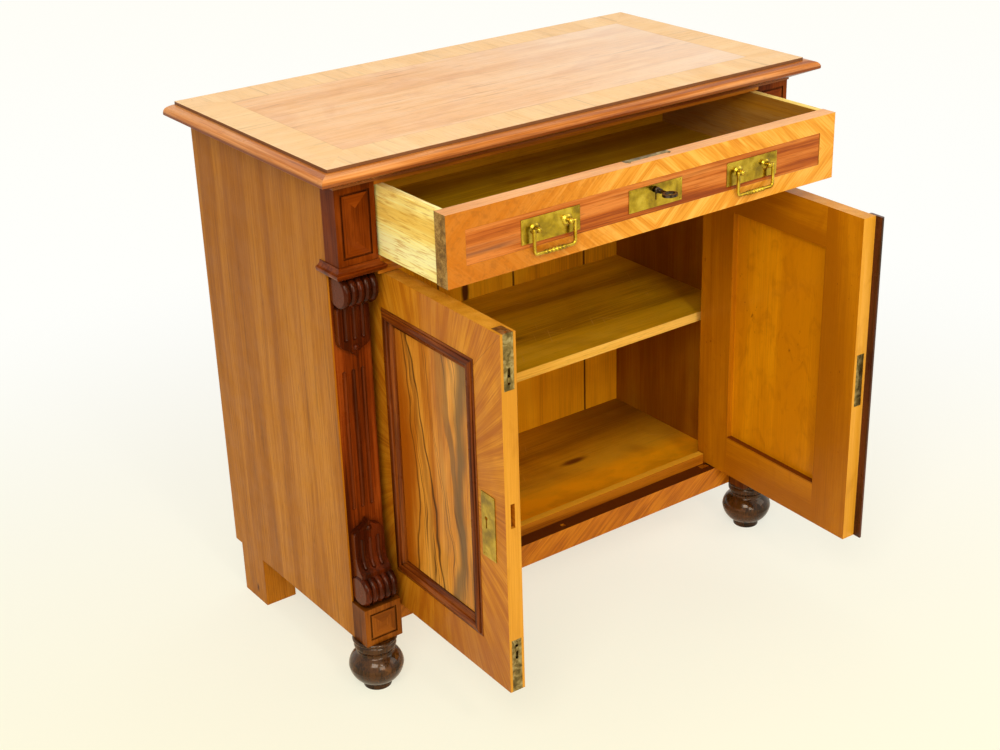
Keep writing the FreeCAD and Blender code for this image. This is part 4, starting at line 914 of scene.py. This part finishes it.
# Door panels
# Thin pine panels faced with a showy leaf of walnut, amber with smoky grey and black streaks, and painted
# darker along the hinge side as shade.
# The two doors have matching leaves, turned over like the pages of a book, and ochre inner sides.
panel_middle_y = -0.185
panel_middle_z = 0.447
leaf_swatches = ((176, 98, 14), (208, 130, 34), (220, 146, 48), (234, 164, 68))
leaf_vein = (70, 38, 10)
leaf_smoke = (108, 76, 38)
panel_inside = ((204, 126, 4), (218, 140, 6), (226, 148, 8), (236, 158, 15))
# Each streak: its middle across the panel, its slope, its width, its strength and its colour
leaf_streaks = (
    # The first streak is painted shade along the hinge side.
    (0.1, 0.0, 0.045, 0.85, (160, 76, 2)),
    (-0.066, -0.13, 0.02, 0.85, (112, 82, 42)),
    (-0.012, -0.05, 0.009, 0.35, (150, 98, 40)),
    (0.028, 0.136, 0.003, 0.85, (44, 20, 5)),
    (0.04, 0.1, 0.008, 0.4, (96, 52, 14)),
    (0.066, 0.02, 0.0025, 0.75, (60, 28, 6)),
)


def door_panel(side):
    def build(tree):
        width = minus(tree, at(tree, "Y"), panel_middle_y)
        rise = minus(tree, at(tree, "Z"), panel_middle_z)
        way = grain_way(tree, no_turn, (0.37, 0.0, 0.21), flat(tree, width, rise))
        colour, height = timber(tree, way, leaf_swatches, (14, 14, 1.8), rings=7.0)
        bend = times(tree, minus(tree, cloud(tree, way, (5, 5, 3.4)), 0.5), 0.09)
        bent = work(tree, "ADD", width, bend)
        for centre, slope, wide, share, shade in leaf_streaks:
            run = apart(tree, minus(tree, bent, times(tree, rise, slope)), centre)
            ragged = work(tree, "ADD", run, times(tree, cloud(tree, way, (110, 110, 5), 4.0), wide))
            colour = laid(tree, ranged(tree, ragged, wide * 1.7, wide * 0.6, stop=share), colour, shade)
        lean = work(tree, "ADD", minus(tree, width, times(tree, rise, 0.06)), bend)
        leaning = grain_way(tree, no_turn, (0.11, 0.0, 0.0), flat(tree, lean, rise))
        slow = cloud(tree, leaning, (52, 52, 1.1), 3.0, 0.2)
        vein = ranged(tree, apart(tree, slow, 0.6), 0.024, 0.006, stop=0.75)
        middle = ranged(tree, apart(tree, width), 0.09, 0.05)
        colour = laid(tree, times(tree, vein, middle), colour, leaf_vein)
        smoke = ranged(tree, cloud(tree, leaning, (26, 26, 1.6), 4.0, 0.4), 0.52, 0.62, stop=0.7)
        smoke = times(tree, smoke, ranged(tree, width, 0.0, -0.05))
        colour = laid(tree, smoke, colour, leaf_smoke)
        inner = stained_inside(tree, no_turn, panel_inside)
        outward = times(tree, facing(tree, "X"), side)
        return laid(tree, ranged(tree, outward, 0.2, -0.2), colour, inner), height
    return build


for side, name in ((-1, "left"), (1, "right")):
    leaf = surface(
        name + "_figured_panel", door_panel(side), rough=0.36, coat=0.2, relief=0.12, worn=0.2,
    )
    dress([name + "_door_panel"], leaf)

# Panel mouldings
# Dark red-brown bolection mouldings, mitred and pinned round each panel, overlapping the frame.
# The grain runs along each length, and polish lies thick in the quirks, darkened further with painted shade.
opening_half_tall = 0.237
opening_half_wide = 0.126
bolection_swatches = ((54, 17, 2), (92, 37, 5), (110, 48, 8), (142, 72, 18))


def panel_moulding(tree):
    figure = dict(cells=(70, 70, 2), rings=5.0, ring_share=0.2, fibre_share=0.3, pore=0.5)
    upright, height = timber(tree, grain_way(tree, no_turn), bolection_swatches, **figure)
    level = timber(tree, grain_way(tree, grain_to_y), bolection_swatches, **figure)[0]
    past_side = minus(tree, apart(tree, at(tree, "Y"), panel_middle_y), opening_half_wide)
    past_end = minus(tree, apart(tree, at(tree, "Z"), panel_middle_z), opening_half_tall)
    return laid(tree, work(tree, "GREATER_THAN", past_end, past_side), upright, level), height


bolection = surface(
    "panel_moulding_wood", panel_moulding, rough=0.3, coat=0.14, worn=0.35, deep=0.8, shine=0.1,
    **carved_edges,
)
dress(both("door_moulding"), bolection)

# Astragal
# A flat strip with rounded edges, glued to the front of the right door so that it laps the left door.
# It is stained almost black and polished.
astragal_swatches = ((32, 11, 5), (50, 19, 8), (62, 25, 11), (84, 38, 18))


def astragal_wood(tree):
    return timber(tree, grain_way(tree, no_turn, (0.3, 0, 0)), astragal_swatches, (30, 30, 2), rings=5.0)


maroon = surface("maroon_astragal", astragal_wood, rough=0.3, coat=0.3, relief=0.1, worn=0.5)
dress(["right_door_astragal"], maroon)

# Door locks, bolts and plates
# A steel mortise lock in the right door's free edge, and steel plates with sliding bolts in the left's.
# Countersunk screws hold the plates, and brass pins hold the two escutcheons.
door_plate_half = (0.0175, 0.055)
door_plate_x = 0.0445
door_plate_y = -0.0404
door_plate_z = 0.419
edge_middle = -0.0257
free_edge_x = 0.001
# Each screw in a door's edge: its height and its turn
lock_screw_places = ((0.4095, 0.3), (0.4935, 1.4))
plate_screw_places = ((0.6625, 0.8), (0.2300, 1.2))


def edge_screws(side, places):
    """Screws in a door's free edge, each at a height and turned as it was left."""
    out = turned_with_door(side, (-side, 0, 0))
    return [(on_door(side, side * free_edge_x, edge_middle, z), out, turn) for z, turn in places]


dress(["right_door_lock", "left_door_bolt_plates"], steel)
bright_steel = surface(
    "rubbed_steel", old_steel, rough=0.22, coat=0.0, relief=0.06, worn=0.8, deep=0.3, **metal_finish,
)
dress(["right_door_lock_bolt", "left_door_top_bolt", "left_door_bottom_bolt"], bright_steel)
for side, name in ((-1, "left"), (1, "right")):
    out = turned_with_door(side, (0, -1, 0))
    places = []
    for across, up in corners(*door_plate_half):
        spot = on_door(side, side * door_plate_x + across, door_plate_y, door_plate_z + up)
        places.append((spot, out, 0))
    set_in(pin, name + "_door_plate_pins", places, name + "_door", brass)
lock_screws = edge_screws(1, lock_screw_places)
set_in(screw, "right_door_lock_screws", lock_screws, "right_door", steel)
plate_screws = edge_screws(-1, plate_screw_places)
set_in(screw, "left_door_plate_screws", plate_screws, "left_door", steel)
for pattern in (pin, screw):
    bpy.data.objects.remove(pattern)

# Floor, light and camera
# A pale plain floor that runs out of sight and brightens with distance until it meets the white world.
# Soft studio lamps, one small lamp for glints on the polish, and the photograph's own viewpoint.
floor_reach = 60.0
floor_swatches = ((254, 250, 220), (255, 255, 251))
floor_far = (255, 254, 247)
world_white = (255, 252, 246)
world_strength = 0.45
begin()
bpy.ops.mesh.primitive_plane_add(size=floor_reach, location=(0, 0, 0))
floor = bpy.context.object
floor.name = "floor"
floor_white = bpy.data.materials.new("pale_floor")
floor_white.use_nodes = True
tree = floor_white.node_tree
matt = tree.nodes["Principled BSDF"]
toward_right = work(tree, "ADD", times(tree, at(tree, "X"), 0.6), times(tree, at(tree, "Y"), 0.8))
pale = ramp(tree, ranged(tree, toward_right, -1.3, 1.5), floor_swatches)
from_middle = add(tree, "VectorMath", {0: object_place(tree)}, operation="LENGTH").outputs["Value"]
pale = laid(tree, ranged(tree, from_middle, 1.8, 6.0), pale, floor_far)
tree.links.new(pale, matt.inputs["Base Color"])
matt.inputs["Roughness"].default_value = 0.8
matt.inputs["Specular IOR Level"].default_value = 0.1
glow = add(tree, "Emission", {"Color": pale, "Strength": 1.0})
lit_share = ranged(tree, from_middle, 0.7, 2.0, 0.66, 1.0)
seen_floor = times(tree, add(tree, "LightPath", {}).outputs["Is Camera Ray"], lit_share)
mixed = add(tree, "MixShader", {0: seen_floor, 1: matt.outputs[0], 2: glow.outputs[0]})
tree.links.new(mixed.outputs[0], tree.nodes["Material Output"].inputs["Surface"])
floor.data.materials.append(floor_white)

scene = bpy.context.scene
scene.view_settings.view_transform = "Standard"
world = bpy.data.worlds.new("studio")
scene.world = world
world.use_nodes = True
sky = world.node_tree
sky_light = sky.nodes["Background"]
sky_light.inputs["Color"].default_value = tint(world_white)
rays = add(sky, "LightPath", {})
seen = work(sky, "MAXIMUM", rays.outputs["Is Camera Ray"], rays.outputs["Is Glossy Ray"])
seen = work(sky, "MAXIMUM", seen, rays.outputs["Is Transmission Ray"])
strength = add(sky, "MapRange", {"Value": seen, "To Min": world_strength, "To Max": 1.0}).outputs[0]
sky.links.new(strength, sky_light.inputs["Strength"])

# Each lamp: its name, its place, the point it aims at, its size, its power and its colour
lamps = (
    ("key_lamp", (-2.6, -2.6, 3.2), (0.0, -0.1, 0.5), 1.8, 95.0, (255, 251, 243)),
    ("front_lamp", (-0.9, -3.8, 1.7), (0.1, 0.0, 0.5), 1.5, 42.0, (255, 251, 243)),
    ("glint_lamp", (-0.7, -3.0, 2.7), (-0.1, -0.1, 0.6), 0.3, 14.0, (255, 250, 240)),
    ("fill_lamp", (2.8, -2.2, 2.2), (0.1, -0.1, 0.4), 2.2, 25.0, (255, 251, 245)),
    ("top_lamp", (0.2, 0.8, 3.6), (0.0, 0.1, 0.9), 2.4, 24.0, (255, 253, 248)),
)
for name, place, aim, size, power, colour in lamps:
    begin()
    bpy.ops.object.light_add(type="AREA", location=place)
    lamp = bpy.context.object
    lamp.name = name
    lamp.data.shape = "SQUARE"
    lamp.data.size = size
    lamp.data.energy = power
    lamp.data.color = tint(colour)[:3]
    lamp.rotation_euler = (Vector(aim) - Vector(place)).to_track_quat("-Z", "Y").to_euler()

camera_place = Vector((-1.6026, -2.0801, 1.6529))
camera_yaw = math.radians(35.49)
camera_pitch = math.radians(-24.88)
camera_roll = math.radians(-1.82)
camera_sensor = 36.0
camera_lens = 58.99
forward = Vector((
    math.sin(camera_yaw) * math.cos(camera_pitch),
    math.cos(camera_yaw) * math.cos(camera_pitch),
    math.sin(camera_pitch),
))
level_right = Vector((math.cos(camera_yaw), -math.sin(camera_yaw), 0))
level_up = level_right.cross(forward)
view_right = level_right * math.cos(camera_roll) + level_up * math.sin(camera_roll)
view_up = level_up * math.cos(camera_roll) - level_right * math.sin(camera_roll)
begin()
bpy.ops.object.camera_add()
camera = bpy.context.object
camera.name = "photo_camera"
turning = Matrix((view_right, view_up, -forward)).transposed().to_4x4()
camera.matrix_world = Matrix.Translation(camera_place) @ turning
camera.data.sensor_width = camera_sensor
camera.data.lens = camera_lens
scene.camera = camera
